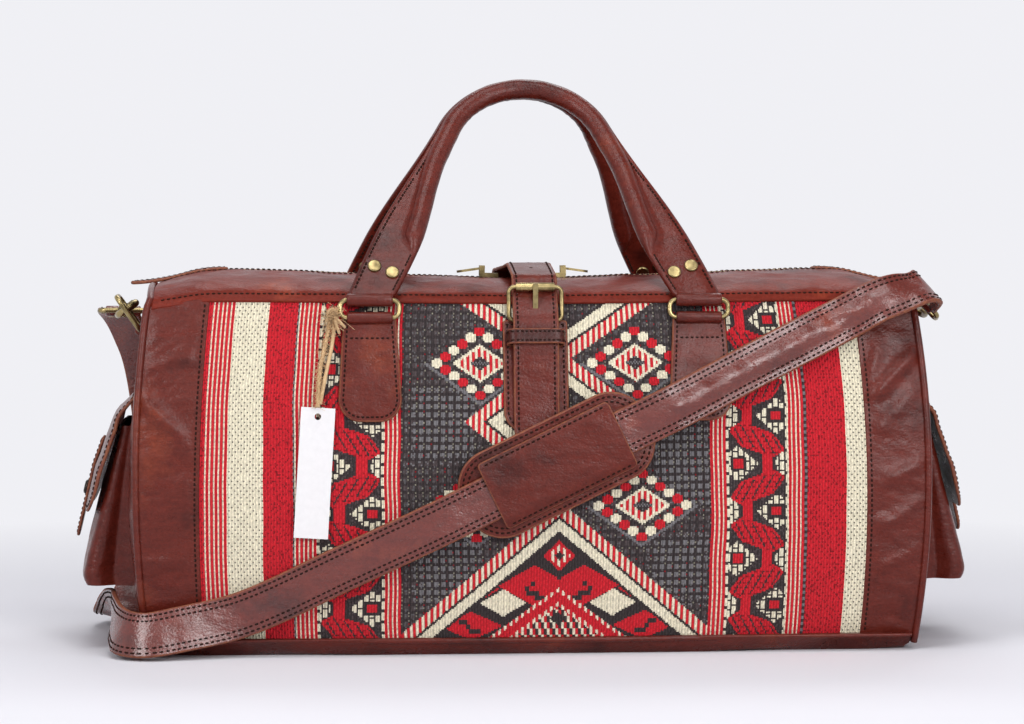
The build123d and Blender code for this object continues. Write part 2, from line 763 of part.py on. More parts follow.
def build_closing_strap(parts):
    chape_radius = BUCKLE_BAR_RADIUS + RUNNING_GAP + CHAPE_LEATHER
    over_bar = BUCKLE_BAR_OUT + chape_radius + LAY_GAP
    roller_out = UNDER_ROLLER_OUT + STRAP_THICKNESS + LAY_GAP + ROLLER_RADIUS
    on_patch = SEAT_GAP + LEATHER + STRAP_LIFT
    ridge = ridge_height(0)

    def back(drop):
        return (side_depth(0, SEAM_HEIGHT - drop, STRAP_LIFT), SEAM_HEIGHT - drop)

    def front(drop):
        return (-side_depth(0, SEAM_HEIGHT - drop, on_patch), SEAM_HEIGHT - drop)

    points = [back(drop) for drop in STRAP_BACK_DROPS] + [
        (ARCH_BACK_OUT, ridge + ARCH_BACK_RISE),
        (0, ridge + ARCH_MID_RISE),
        (-ARCH_FRONT_IN, ridge + ARCH_FRONT_RISE),
        buckle_point(BUCKLE_LENGTH + ABOVE_ROLLER_RISE, UNDER_ROLLER_OUT),
        buckle_point(BUCKLE_LENGTH - ROLLER_RADIUS, UNDER_ROLLER_OUT),
        buckle_point(0, over_bar),
        buckle_point(-TONGUE_DROP, over_bar),
        buckle_point(-TONGUE_LAND, on_patch),
    ]
    points += [front(drop) for drop in STRAP_FRONT_DROPS]
    bends = [STRAP_BEND] * (len(points) - 2)
    sheet = strip(points, bends, STRAP_THICKNESS, Side.RIGHT)
    if sheet.center().Z < 0:
        sheet = -sheet
    upright = Plane(origin=(0, 0, 0), x_dir=(0, 1, 0), z_dir=(1, 0, 0))
    strap = extrude(upright * sheet, amount=STRAP_WIDTH / 2, both=True)
    slot = buckle_frame(0, 0) * span_box(
        (-PRONG_SLOT_HALF, PRONG_SLOT_LOW, 0), (PRONG_SLOT_HALF, PRONG_SLOT_HIGH, PRONG_SLOT_DEPTH)
    )
    strap -= slot
    hole_axis = Vector(0, points[6][0] - points[5][0], points[6][1] - points[5][1])
    hole_mid = (0, (points[5][0] + points[6][0]) / 2, (points[5][1] + points[6][1]) / 2)
    hole_plane = Plane(origin=hole_mid, x_dir=hole_axis, z_dir=(0, hole_axis.Z, -hole_axis.Y))
    strap -= hole_plane * Cylinder(STRAP_HOLE_RADIUS, STRAP_THICKNESS * 4)
    tip_top = SEAM_HEIGHT - max(STRAP_BACK_DROPS) + SEAT_GAP + STRAP_THICKNESS
    tip = [
        edge
        for edge in strap.edges()
        if abs(edge.center().X) > STRAP_WIDTH / 2 - SEAT_GAP
        and edge.length < STRAP_THICKNESS * 2
        and edge.center().Z < tip_top
    ]
    strap = fillet(tip, STRAP_TIP_ROUND)
    parts["closing_strap"] = strap

    height = BUCKLE_BAR_HEIGHT
    outline = Plane.XZ * make_face(
        Polyline(
            (-PATCH_WIDTH / 2, height),
            (PATCH_WIDTH / 2, height),
            (PATCH_WIDTH / 2, height - PATCH_LENGTH),
            (-PATCH_WIDTH / 2, height - PATCH_LENGTH),
            close=True,
        )
    )
    prism = extrude(outline, amount=far_depth())
    prism = fillet(prism.edges().filter_by(Axis.Y).sort_by(Axis.Z)[:2], PATCH_CORNER)
    patch = largest((body_block(SEAT_GAP + LEATHER) & prism) - body_block(SEAT_GAP))
    bar_place = buckle_frame(0, BUCKLE_BAR_OUT)
    bar_turn = Rot(0, 90, 0)
    chape_middle = (CHAPE_INNER + CHAPE_OUTER) / 2
    for sign in (-1, 1):
        patch += bar_place * Pos(sign * chape_middle, 0, 0) * bar_turn * Cylinder(
            chape_radius, CHAPE_OUTER - CHAPE_INNER
        )
    patch -= bar_place * bar_turn * Cylinder(BUCKLE_BAR_RADIUS + RUNNING_GAP, PATCH_WIDTH)
    patch -= buckle_frame(0, 0) * span_box(
        (-PRONG_SLOT_HALF, -PRONG_EYE_RADIUS - LAY_GAP, -LEATHER),
        (PRONG_SLOT_HALF, PRONG_EYE_RADIUS + LAY_GAP, PRONG_SLOT_DEPTH),
    )
    parts["buckle_patch"] = patch

    tilt = math.degrees(math.atan2(roller_out - BUCKLE_BAR_OUT, BUCKLE_LENGTH))
    frame_length = math.hypot(roller_out - BUCKLE_BAR_OUT, BUCKLE_LENGTH)
    bar_frame = buckle_frame(0, BUCKLE_BAR_OUT, tilt)
    ring = wire_ring(BUCKLE_WIDTH, frame_length, BUCKLE_CORNER, BUCKLE_BAR_RADIUS)
    parts["buckle_frame"] = bar_frame * ring
    roller = Cylinder(ROLLER_RADIUS, ROLLER_LENGTH) - Cylinder(BUCKLE_BAR_RADIUS + RUNNING_GAP, ROLLER_LENGTH)
    parts["buckle_roller"] = bar_frame * Pos(0, frame_length, 0) * bar_turn * roller

    clear = ROLLER_RADIUS + PRONG_THICKNESS / 2 + SEAT_GAP
    rise = tilt + math.degrees(math.asin(clear / frame_length))
    length = frame_length + PRONG_OVERHANG
    prong = span_box(
        (-PRONG_WIDTH / 2, 0, -PRONG_THICKNESS / 2), (PRONG_WIDTH / 2, length, PRONG_THICKNESS / 2)
    )
    prong += bar_turn * Cylinder(PRONG_EYE_RADIUS, PRONG_WIDTH)
    prong -= bar_turn * Cylinder(BUCKLE_BAR_RADIUS + RUNNING_GAP, PRONG_WIDTH * 2)
    parts["buckle_prong"] = buckle_frame(0, BUCKLE_BAR_OUT, rise) * prong

    inside_top = over_bar + STRAP_THICKNESS + KEEPER_CLEAR
    inside_half = STRAP_WIDTH / 2 + KEEPER_CLEAR
    low = SEAT_GAP + LEATHER + SEAT_GAP
    bridge = span_box(
        (-inside_half - KEEPER_LEATHER, -KEEPER_HEIGHT / 2, low),
        (inside_half + KEEPER_LEATHER, KEEPER_HEIGHT / 2, inside_top + KEEPER_LEATHER),
    )
    bridge -= span_box((-inside_half, -KEEPER_HEIGHT, -low), (inside_half, KEEPER_HEIGHT, inside_top))
    parts["strap_keeper"] = buckle_frame(-KEEPER_PLACE, 0) * bridge


def end_ring_place():
    # Middle of the lower bar of the right end ring
    loop = END_RING_WIRE_RADIUS + RUNNING_GAP + LEATHER
    return Vector(end_place(END_BAR_HEIGHT) + SEAT_GAP + loop, 0, END_BAR_HEIGHT)


def end_ring_up():
    lean = math.radians(END_RING_LEAN)
    return Vector(math.sin(lean), 0, math.cos(lean))


def build_end_rings(parts):
    place = end_ring_place()
    up = end_ring_up()
    frame = Plane(origin=place, x_dir=(0, 1, 0), z_dir=Vector(0, 1, 0).cross(up))
    ring = frame * wire_ring(END_RING_WIDTH, END_RING_HEIGHT, END_RING_CORNER, END_RING_WIRE_RADIUS)
    parts["end_ring_right"] = ring
    parts["end_ring_left"] = swapped(ring)
    loop_radius = END_RING_WIRE_RADIUS + RUNNING_GAP + LEATHER
    space = span_box(
        (0, -END_TAB_WIDTH / 2, END_BAR_HEIGHT - END_TAB_LENGTH),
        (far_half(), END_TAB_WIDTH / 2, END_BAR_HEIGHT),
    )
    leaf = (end_clip(SEAT_GAP + LEATHER) & space) - end_clip(SEAT_GAP)
    at_bar = Pos(*place) * Rot(90, 0, 0)
    free = at_bar * Cylinder(loop_radius, END_TAB_WIDTH + OVERRUN)
    loop = at_bar * Cylinder(loop_radius, END_TAB_LOOP)
    bore = at_bar * Cylinder(END_RING_WIRE_RADIUS + RUNNING_GAP, END_TAB_WIDTH + OVERRUN)
    middle = span_box((0, -END_TAB_LOOP / 2, 0), (far_half(), END_TAB_LOOP / 2, far_height()))
    tab = (leaf - free) + (leaf & free & middle) + loop - bore
    parts["end_tab_right"] = tab
    parts["end_tab_left"] = swapped(tab)


def pocket_section(height, near, far, half_width, fold):
    # Plan of the pocket with its folded sides
    middle = (near + far) / 2
    points = [
        (near, -half_width),
        (middle, -half_width + fold),
        (far, -half_width),
        (far, half_width),
        (middle, half_width - fold),
        (near, half_width),
    ]
    return Pos(0, 0, height) * make_face(Polyline(*points, close=True))


def flap_points():
    root = end_place(FLAP_ROOT_HEIGHT) + SEAT_GAP + LEATHER / 2
    points = [(root, FLAP_ROOT_HEIGHT)]
    for drop, out in zip(FLAP_DROPS, FLAP_OUTS):
        points.append((root + out, FLAP_ROOT_HEIGHT - drop))
    return points


def build_pockets(parts):
    body = end_clip(SEAT_GAP)
    near = HALF_LENGTH
    foot = end_place(POCKET_BOTTOM) + POCKET_FOOT_DEPTH
    top = end_place(POCKET_TOP) + POCKET_TOP_DEPTH
    outside = loft(
        [
            pocket_section(POCKET_BOTTOM, near, foot, POCKET_HALF_WIDTH, POCKET_FOLD).face(),
            pocket_section(POCKET_TOP, near, top, POCKET_HALF_WIDTH, POCKET_TOP_FOLD).face(),
        ],
        ruled=True,
    )
    inner_half = POCKET_HALF_WIDTH - LEATHER
    floor = POCKET_BOTTOM + LEATHER
    inside = loft(
        [
            pocket_section(floor, near - LEATHER, foot - LEATHER, inner_half, POCKET_FOLD).face(),
            pocket_section(POCKET_TOP, near - LEATHER, top - LEATHER, inner_half, POCKET_TOP_FOLD).face(),
        ],
        ruled=True,
    )
    low_edge = outside.edges().filter_by(Axis.Y).group_by(Axis.Z)[0].sort_by(Axis.X)[-1]
    outside = fillet(low_edge, POCKET_ROUND)
    pocket = largest(outside - inside - body)
    parts["right_pocket"] = pocket
    parts["left_pocket"] = swapped(pocket)

    points = flap_points()
    line = FilletPolyline(*points, radius=FLAP_BEND)
    wire = Wire(line.edges())
    sheet = Plane.XZ * Face(wire.offset_2d(LEATHER / 2, side=Side.BOTH))
    flap = extrude(sheet, amount=FLAP_HALF_WIDTH, both=True)
    bottom = points[-1][1] - LEATHER
    tall = FLAP_ROOT_HEIGHT + 2 * OVERRUN - bottom
    outline = Plane.YZ * Pos(0, bottom + tall / 2) * RectangleRounded(2 * FLAP_HALF_WIDTH, tall, FLAP_CORNER)
    flap &= extrude(outline, amount=far_half() * 2)
    start = wire @ FLAP_TAB_START_SHARE
    lower, end = Vector(*points[-2]), Vector(*points[-1])
    way = (end - lower).normalized()
    out = Vector(-way.Y, way.X)
    if out.X < 0:
        out = out * -1
    lift = out * LEATHER
    first = Vector(start.X, start.Y) + lift
    last = end + way * FLAP_TAB_REACH + lift
    tab_line = Line((first.X, first.Y), (last.X, last.Y))
    tab_wire = Wire([tab_line.edge()])
    tab_sheet = Plane.XZ * Face(tab_wire.offset_2d(LEATHER / 2, side=Side.BOTH))
    flap += extrude(tab_sheet, amount=FLAP_TAB_WIDTH / 2, both=True)
    spot = wire @ STUD_PLACE_SHARE
    base = Vector(spot.X, spot.Y) + lift + out * (LEATHER / 2)
    stud_plane = Plane(origin=(base.X, 0, base.Y), x_dir=(0, 1, 0), z_dir=(out.X, 0, out.Y))
    cap = Cylinder(STUD_RADIUS, STUD_HEIGHT, align=(Align.CENTER, Align.CENTER, Align.MIN))
    cap = fillet(cap.edges().sort_by(Axis.Z)[-1], STUD_ROUND)
    shank = Pos(0, 0, -LEATHER) * Cylinder(STUD_SHANK_RADIUS, 2 * LEATHER)
    stud = stud_plane * (cap + shank)
    flap -= stud_plane * shank
    parts["right_pocket_flap"] = flap
    parts["left_pocket_flap"] = swapped(flap)
    parts["right_flap_stud"] = stud
    parts["left_flap_stud"] = swapped(stud)


def hook_frame(grip, aim, ring_leg):
    # Frames of one snap hook that holds a ring leg at a point
    way = Vector(*aim).normalized()
    eye = grip - way * HOOK_REACH
    normal = ring_leg - way * ring_leg.dot(way)
    return eye, way, normal.normalized()


def ring_leg_place(sign_x, sign_y):
    # Point that the hook holds, and the direction of the ring's leg there
    place = end_ring_place()
    up = end_ring_up()
    spot = place + up * (END_RING_HEIGHT * RING_LEG_SHARE)
    grip = Vector(sign_x * spot.X, sign_y * END_RING_WIDTH / 2, spot.Z)
    return grip, Vector(sign_x * up.X, 0, up.Z)


def build_hook(parts, name, grip, aim, ring_leg, strap_side):
    eye, way, normal = hook_frame(grip, aim, ring_leg)
    side = normal.cross(way)
    # The hook lies in the local XY plane, local X along it
    hook_plane = Plane(origin=eye, x_dir=way, z_dir=normal)
    bow = HOOK_BOW_RADIUS
    path = Wire(
        [
            *FilletPolyline(
                (HOOK_START, 0), (HOOK_SPREAD_PLACE, -bow), (HOOK_REACH, -bow), radius=bow
            ).edges(),
            ThreePointArc((HOOK_REACH, -bow), (HOOK_REACH + bow, 0), (HOOK_REACH, bow)).edge(),
            Line((HOOK_REACH, bow), (HOOK_REACH - HOOK_TIP_BACK, bow)).edge(),
        ]
    )
    body = sweep(Plane(origin=path @ 0, z_dir=path % 0) * Circle(HOOK_WIRE_RADIUS), path=path)

    def shaft(start, length, radius):
        return Pos(start, 0, 0) * Rot(0, 90, 0) * Cylinder(
            radius, length, align=(Align.CENTER, Align.CENTER, Align.MIN)
        )

    collar_end = COLLAR_START + COLLAR_LENGTH
    head_start = COLLAR_START - STEM_HEAD_GAP - STEM_HEAD_LENGTH
    body += shaft(head_start, STEM_HEAD_LENGTH, STEM_HEAD_RADIUS)
    body += shaft(head_start, collar_end + STEM_HEAD_GAP + SHOULDER_LENGTH - head_start, STEM_RADIUS)
    body += shaft(collar_end + STEM_HEAD_GAP, SHOULDER_LENGTH, SHOULDER_RADIUS)
    ear_low = GATE_HALF_THICKNESS + EAR_GAP
    ear_outline = Polyline(
        (HOOK_START, -STEM_RADIUS),
        (GATE_PIVOT_ALONG + GATE_EYE_RADIUS, GATE_PIVOT_SIDE - GATE_EYE_RADIUS),
        (GATE_PIVOT_ALONG + GATE_EYE_RADIUS, GATE_PIVOT_SIDE + GATE_EYE_RADIUS),
        (GATE_PIVOT_ALONG - GATE_EYE_RADIUS, GATE_PIVOT_SIDE + GATE_EYE_RADIUS),
        (HOOK_START, STEM_RADIUS),
        close=True,
    )
    for sign in (-1, 1):
        ear = extrude(make_face(ear_outline), amount=EAR_THICKNESS)
        base = ear_low if sign > 0 else -ear_low - EAR_THICKNESS
        body += Pos(0, 0, base) * ear
    pivot = Pos(GATE_PIVOT_ALONG, GATE_PIVOT_SIDE, 0)
    gate_space = pivot * Cylinder(GATE_EYE_RADIUS + EAR_GAP, 2 * ear_low)
    body -= gate_space
    body += pivot * Cylinder(GATE_PIN_RADIUS, 2 * (ear_low + EAR_THICKNESS))
    tip_x = HOOK_REACH - HOOK_TIP_BACK - GATE_TIP_GAP
    gate = span_box(
        (0, -GATE_HALF_THICKNESS, -GATE_HALF_THICKNESS),
        (tip_x - GATE_PIVOT_ALONG, GATE_HALF_THICKNESS, GATE_HALF_THICKNESS),
    )
    gate += Cylinder(GATE_EYE_RADIUS, 2 * GATE_HALF_THICKNESS)
    gate -= Cylinder(GATE_PIN_RADIUS + RUNNING_GAP, 4 * GATE_HALF_THICKNESS)
    gate = pivot * gate
    across = Vector(*strap_side)
    across -= way * across.dot(way)
    eye_plane = Plane(origin=eye, x_dir=across.normalized(), z_dir=across.cross(way))
    ring = wire_ring(EYE_WIDTH, EYE_LENGTH, EYE_CORNER, EYE_WIRE_RADIUS)
    collar = Plane(origin=(0, COLLAR_START, 0), z_dir=(0, 1, 0)) * Cylinder(
        COLLAR_RADIUS, COLLAR_LENGTH, align=(Align.CENTER, Align.CENTER, Align.MIN)
    )
    bore = Plane(origin=(0, EYE_LENGTH / 2, 0), z_dir=(0, 1, 0)) * Cylinder(
        STEM_RADIUS + RUNNING_GAP, COLLAR_LENGTH + EYE_LENGTH, align=(Align.CENTER, Align.CENTER, Align.MIN)
    )
    parts["hook_eye_" + name] = eye_plane * (ring + collar - bore)
    parts["snap_hook_" + name] = hook_plane * body
    parts["hook_gate_" + name] = hook_plane * gate
    return eye, way, across.normalized()


def pad_frame():
    # Frame at the middle of the shoulder pad, local X along the strap, local Z off the bag
    x = PAD_PLACE_SHARE * HALF_LENGTH
    z = PAD_HEIGHT_SHARE * SEAM_HEIGHT
    out = PAD_STACK + PAD_THICKNESS + LAY_GAP + SLING_THICKNESS / 2
    slope = math.radians(SLING_SLOPE)
    return Plane(
        origin=(x, -side_depth(x, z) - out, z), x_dir=(math.cos(slope), 0, math.sin(slope)), z_dir=(0, -1, 0)
    )


# Places along the shoulder strap beyond its straight stretch, as shares of the half length,
# the half depth and the seam height, then the way that its outer face looks
SLING_FRONT_RIGHT_SHARES = (
    (0.55, 0.796, 0, -1, 0.05),
    (0.69, 0.87, 0, -1, 0.1),
    (0.82, 0.938, 0.05, -0.95, 0.3),
)
SLING_RIGHT_END_SHARES = (
    (0.91, -0.905, 0.99, 0.2, -0.85, 0.5),
)
SLING_FRONT_LEFT_SHARES = (
    (-0.5, 0.249, 0, -1, 0),
    (-0.75, 0.124, 0, -1, 0.03),
)
SLING_LEFT_END_SHARES = (
    (-0.93, -1.0, 0.082, -0.1, -1, 0.2),
    (-1.005, -1.01, 0.07, -0.35, -0.9, 0.3),
    (-1.06, -0.93, 0.073, -0.8, -0.55, 0.3),
    (-1.085, -0.75, 0.085, -1, -0.15, 0.2),
    (-1.095, -0.4, 0.1, -1, 0, 0),
    (-1.1, -0.05, 0.09, -0.9, 0, -0.45),
    (-1.105, 0.3, 0.06, -0.6, 0, -0.8),
    (-1.11, 0.6, 0.035, -0.2, 0, -1),
    (-1.085, 0.85, 0.05, 0, 0.3, -1),
    (-1.035, 0.985, 0.14, 0, 0.85, -0.5),
    (-1.01, 1.03, 0.28, 0, 1, -0.1),
    (-1, 1.035, 0.45, 0, 1, 0.05),
    (-1.01, 1.02, 0.64, 0, 1, 0.15),
    (-1.04, 0.97, 0.81, 0, 0.75, 0.65),
)


def sling_route(right_eye, right_way, right_across, left_eye, left_way, left_across):
    # Points on the middle of the shoulder strap with the way that its outer face looks
    frame = pad_frame()
    route = []
    stop = EYE_WIRE_RADIUS + EYE_LOOP_LEATHER / 2
    left_face = left_across.cross(left_way)
    if left_face.Y < 0:
        left_face = left_face * -1
    route.append((left_eye - left_way * stop, left_face))
    route.append((left_eye - left_way * SLING_RIVET_PLACE * 2, left_face))
    for sx, sy, sz, *face in reversed(SLING_LEFT_END_SHARES):
        point = Vector(sx * HALF_LENGTH, sy * BELLY_HALF_DEPTH, sz * SEAM_HEIGHT)
        route.append((point, Vector(*face)))
    for sx, sz, *face in reversed(SLING_FRONT_LEFT_SHARES):
        x, z = sx * HALF_LENGTH, sz * SEAM_HEIGHT
        route.append((Vector(x, -side_depth(x, z) - SLING_OFF_FRONT, z), Vector(*face)))
    straight = Vector(0, -1, 0)
    route.append((frame.origin - frame.x_dir * SLING_STRAIGHT, straight))
    route.append((frame.origin + frame.x_dir * SLING_STRAIGHT, straight))
    for sx, sz, *face in SLING_FRONT_RIGHT_SHARES:
        x, z = sx * HALF_LENGTH, sz * SEAM_HEIGHT
        route.append((Vector(x, -side_depth(x, z) - SLING_OFF_FRONT, z), Vector(*face)))
    right_face = right_across.cross(right_way)
    if right_face.Z < 0:
        right_face = right_face * -1
    for sx, sy, sz, *face in SLING_RIGHT_END_SHARES:
        point = Vector(sx * HALF_LENGTH, sy * BELLY_HALF_DEPTH, sz * SEAM_HEIGHT)
        route.append((point, Vector(*face)))
    route.append((right_eye - right_way * SLING_RIVET_PLACE * 2, right_face))
    route.append((right_eye - right_way * stop, right_face))
    return route


def build_shoulder_strap(parts):
    right_grip, right_leg = ring_leg_place(1, -1)
    left_grip, left_leg = ring_leg_place(-1, 1)
    right = build_hook(parts, "right", right_grip, RIGHT_AIM_SHARES, right_leg, RIGHT_ACROSS_SHARES)
    left = build_hook(parts, "left", left_grip, LEFT_AIM_SHARES, left_leg, LEFT_ACROSS_SHARES)
    route = sling_route(*right, *left)
    frame = pad_frame()
    faces = []
    count = len(route)
    for index, (point, face) in enumerate(route):
        before = route[max(0, index - 1)][0]
        after = route[min(count - 1, index + 1)][0]
        if index == 0:
            way = left[1] * -1
        elif index == count - 1:
            way = right[1]
        elif abs((point - frame.origin).length - SLING_STRAIGHT) < SEAT_GAP:
            way = frame.x_dir
        else:
            way = ((point - before).normalized() + (after - point).normalized()).normalized()
        across = way.cross(face).normalized()
        place = Plane(origin=point, x_dir=across, z_dir=way)
        faces.append((place * Rectangle(SLING_WIDTH, SLING_THICKNESS)).face())
    spans = range(0, count - 1, SLING_SPAN)
    strap = loft(faces[: SLING_SPAN + 1], ruled=True)
    for start in spans[1:]:
        strap += loft(faces[start : start + SLING_SPAN + 1], ruled=True)
    rivets = []
    loop_radius = EYE_WIRE_RADIUS + RUNNING_GAP + EYE_LOOP_LEATHER
    for eye, way, across in (right, left):
        at_bar = Plane(origin=eye, z_dir=across)
        free = at_bar * Cylinder(loop_radius, EYE_WIDTH + OVERRUN)
        middle = at_bar * Cylinder(loop_radius, EYE_LOOP_WIDTH)
        strap = (strap - free) + middle
        strap -= at_bar * Cylinder(EYE_WIRE_RADIUS + RUNNING_GAP, EYE_WIDTH + OVERRUN)
        normal = across.cross(way)
        for sign in (-1, 1):
            spot = eye - way * SLING_RIVET_PLACE + across * (sign * SLING_RIVET_HALF_SPACING)
            place = Plane(origin=spot, x_dir=across, z_dir=normal)
            strap -= place * Cylinder(RIVET_SHANK_RADIUS, SLING_THICKNESS * 4)
            rivets.append(place * rivet(SLING_THICKNESS + 2 * SEAT_GAP))
    parts["shoulder_strap"] = strap
    parts["shoulder_strap_rivets"] = Compound(rivets)

    low = -SLING_THICKNESS / 2 - LAY_GAP - PAD_THICKNESS
    pad = extrude(RectangleRounded(PAD_LENGTH, PAD_WIDTH, PAD_CORNER), amount=PAD_THICKNESS)
    parts["shoulder_pad"] = frame * Pos(0, 0, low) * pad
    base = low + PAD_THICKNESS
    inside_half = SLING_WIDTH / 2 + SLEEVE_SIDE_GAP
    roof = SLING_THICKNESS / 2 + LAY_GAP
    cover = Pos(0, 0, base) * extrude(
        RectangleRounded(SLEEVE_LENGTH, SLEEVE_WIDTH, SLEEVE_CORNER), amount=roof + SLEEVE_WALL - base
    )
    cover -= span_box((-SLEEVE_LENGTH, -inside_half, base), (SLEEVE_LENGTH, inside_half, roof))
    parts["pad_sleeve"] = frame * cover


def build_tag(parts):
    top_x = -TAG_PLACE
    top = Vector(top_x, -side_depth(top_x, TAG_TOP_HEIGHT) - TAG_STAND_OFF, TAG_TOP_HEIGHT)
    foot_z = TAG_TOP_HEIGHT - TAG_LENGTH
    foot = Vector(top_x, -side_depth(top_x, foot_z) - TAG_STAND_OFF, foot_z)
    up = (top - foot).normalized()
    plane = Plane(origin=top, x_dir=(1, 0, 0), z_dir=Vector(1, 0, 0).cross(up))
    card = extrude(Pos(0, -TAG_LENGTH / 2) * Rectangle(TAG_WIDTH, TAG_LENGTH), amount=TAG_THICKNESS)
    card -= Pos(0, -TAG_HOLE_PLACE, 0) * Cylinder(TAG_HOLE_RADIUS, TAG_THICKNESS * 4)
    parts["tag_card"] = plane * Rot(0, 0, -TAG_TILT) * card
    points = []
    for x, rise in zip(TWINE_PLACES, TWINE_RISES):
        z = TAB_TOP_HEIGHT + rise
        points.append((x, -side_depth(x, z) - TWINE_STAND_OFF - TWINE_RADIUS, z))
    line = FilletPolyline(*points, radius=TWINE_BEND)
    path = Wire(line.edges())
    parts["tag_twine"] = sweep(Plane(origin=path @ 0, z_dir=path % 0) * Circle(TWINE_RADIUS), path=path)


def main():
    parts = {}
    build_body(parts)
    build_zip(parts)
    build_rings(parts)
    build_handles(parts)
    build_closing_strap(parts)
    build_end_rings(parts)
    build_pockets(parts)
    build_shoulder_strap(parts)
    build_tag(parts)
    os.makedirs("parts", exist_ok=True)
    for name, shape in parts.items():
        export_step(shape, "parts/" + name + ".step")


main()
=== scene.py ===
"""Kilim and leather travel bag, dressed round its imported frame."""

import json
import math
import random

import bpy
import numpy as np
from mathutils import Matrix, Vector, geometry, noise
from mathutils.bvhtree import BVHTree

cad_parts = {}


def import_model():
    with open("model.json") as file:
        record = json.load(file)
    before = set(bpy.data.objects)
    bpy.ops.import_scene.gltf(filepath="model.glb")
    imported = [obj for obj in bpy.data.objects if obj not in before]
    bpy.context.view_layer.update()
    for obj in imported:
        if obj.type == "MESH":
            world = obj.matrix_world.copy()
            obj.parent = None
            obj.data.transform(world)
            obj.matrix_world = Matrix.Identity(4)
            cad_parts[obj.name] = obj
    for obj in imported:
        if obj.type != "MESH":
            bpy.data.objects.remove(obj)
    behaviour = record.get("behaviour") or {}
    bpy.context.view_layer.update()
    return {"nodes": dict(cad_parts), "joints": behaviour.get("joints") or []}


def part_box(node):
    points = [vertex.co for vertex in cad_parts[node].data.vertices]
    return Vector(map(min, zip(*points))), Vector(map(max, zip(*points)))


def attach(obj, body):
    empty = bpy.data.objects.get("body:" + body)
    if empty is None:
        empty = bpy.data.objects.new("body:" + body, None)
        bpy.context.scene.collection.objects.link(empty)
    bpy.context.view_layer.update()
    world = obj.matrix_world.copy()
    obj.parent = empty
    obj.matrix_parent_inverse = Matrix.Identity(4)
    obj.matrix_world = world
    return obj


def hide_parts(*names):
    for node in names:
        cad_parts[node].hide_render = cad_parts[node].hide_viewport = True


bl_info = {
    "name": "Kilim Travel Bag",
    "version": (1, 0, 0),
    "blender": (4, 5, 0),
    "location": "3D View > Sidebar > Bag",
    "description": "Sews a kilim and leather travel bag round its packed frame",
    "category": "Object",
}

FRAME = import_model()

# Finishes of a leather piece, in the order of its material slots
HIDE = 0
RAW_EDGE = 1
THREAD = 2

# Ends and long sides of the bag, each with the sign of its mirror image
ENDS = (("right", 1), ("left", -1))
SIDES = (("front", 1), ("back", -1))
ALONG = Vector((1, 0, 0))
DEEP = Vector((0, 1, 0))
UP = Vector((0, 0, 1))

# Corner radii of an outline with sharp corners
SQUARE = (0, 0, 0, 0)
# Distance over which the slope of a face is read
SLOPE_STEP = 0.001
# Distance between a leather patch and the face that it is sewn to
PATCH_GAP = 0.0001
STITCH_HEIGHT_SHARE = 0.6
# How far a stitch or tooth is sunk, as a share of its height
BEAD_SUNK_SHARE = 0.35


class BagSizes(bpy.types.PropertyGroup):
    """Sizes of the cloth, the leather and the sewing."""

    def length(name, description, default):
        return bpy.props.FloatProperty(
            name=name, description=description, default=default, unit="LENGTH", precision=5
        )

    cord: length("Cord", "Width of one cord of the weave", 0.0020)
    pick: length("Pick", "Height of one row of the weave", 0.0011)
    cord_rise: length("Cord rise", "Height of a cord over the valley beside it", 0.0010)
    hide: length("Hide", "Thickness of the leather", 0.0022)
    seam_lip: length("Seam lip", "Overlap of the leather on the cloth", 0.002)
    stitch: length("Stitch", "Length of one stitch", 0.0024)
    stitch_pitch: length("Stitch pitch", "Distance from one stitch to the next", 0.0038)
    stitch_width: length("Stitch width", "Width of the thread", 0.0015)
    stitch_in: length("Stitch margin", "Distance of a row of stitches from the edge", 0.0032)
    piping: length("Piping", "Radius of the piping on the corners", 0.0024)
    welt: length("Welt", "Radius of the welt along the base", 0.002)
    crease: length("Crease", "Depth of the creases in the leather", 0.0011)
    strap: length("Closing strap", "Width of the strap over the top", 0.031)
    sling: length("Shoulder strap", "Width of the shoulder strap", 0.031)
    del length


class BagColours(bpy.types.PropertyGroup):
    """Colours of the yarns, the leather and the metal."""

    def tint(name, description, default):
        return bpy.props.FloatVectorProperty(
            name=name, description=description, default=default, subtype="COLOR", size=3, min=0, max=1
        )

    leather: tint("Leather", "Polished leather", (0.118, 0.0160, 0.0095))
    leather_dark: tint("Dark leather", "Leather in its folds", (0.048, 0.0075, 0.0055))
    leather_light: tint("Rubbed leather", "Leather where it is rubbed", (0.215, 0.0390, 0.0165))
    raw_edge: tint("Raw edge", "Cut edge of the leather", (0.230, 0.070, 0.028))
    thread: tint("Thread", "Sewing thread", (0.018, 0.007, 0.005))
    red: tint("Red yarn", "Red yarn of the weave", (0.700, 0.016, 0.030))
    cream: tint("Cream yarn", "Cream yarn of the weave", (0.980, 0.900, 0.690))
    black: tint("Black yarn", "Black yarn of the weave", (0.047, 0.035, 0.036))
    grey: tint("Grey yarn", "Grey yarn of the weave", (0.215, 0.205, 0.215))
    brass: tint("Brass", "Rings, hooks and buckle", (0.400, 0.310, 0.145))
    dark_metal: tint("Dark metal", "Press studs", (0.045, 0.038, 0.034))
    tape: tint("Zip tape", "Cloth of the zip", (0.030, 0.018, 0.014))
    card: tint("Card", "Swing tag", (0.730, 0.715, 0.720))
    twine: tint("Twine", "Jute twine", (0.520, 0.330, 0.165))
    floor: tint("Floor", "Studio floor", (0.765, 0.760, 0.805))
    backdrop: tint("Backdrop", "Studio backdrop", (0.872, 0.872, 0.910))
    del tint


def joint_of(name):
    """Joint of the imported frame, by its name."""
    return next(joint for joint in FRAME["joints"] if joint["name"] == name)


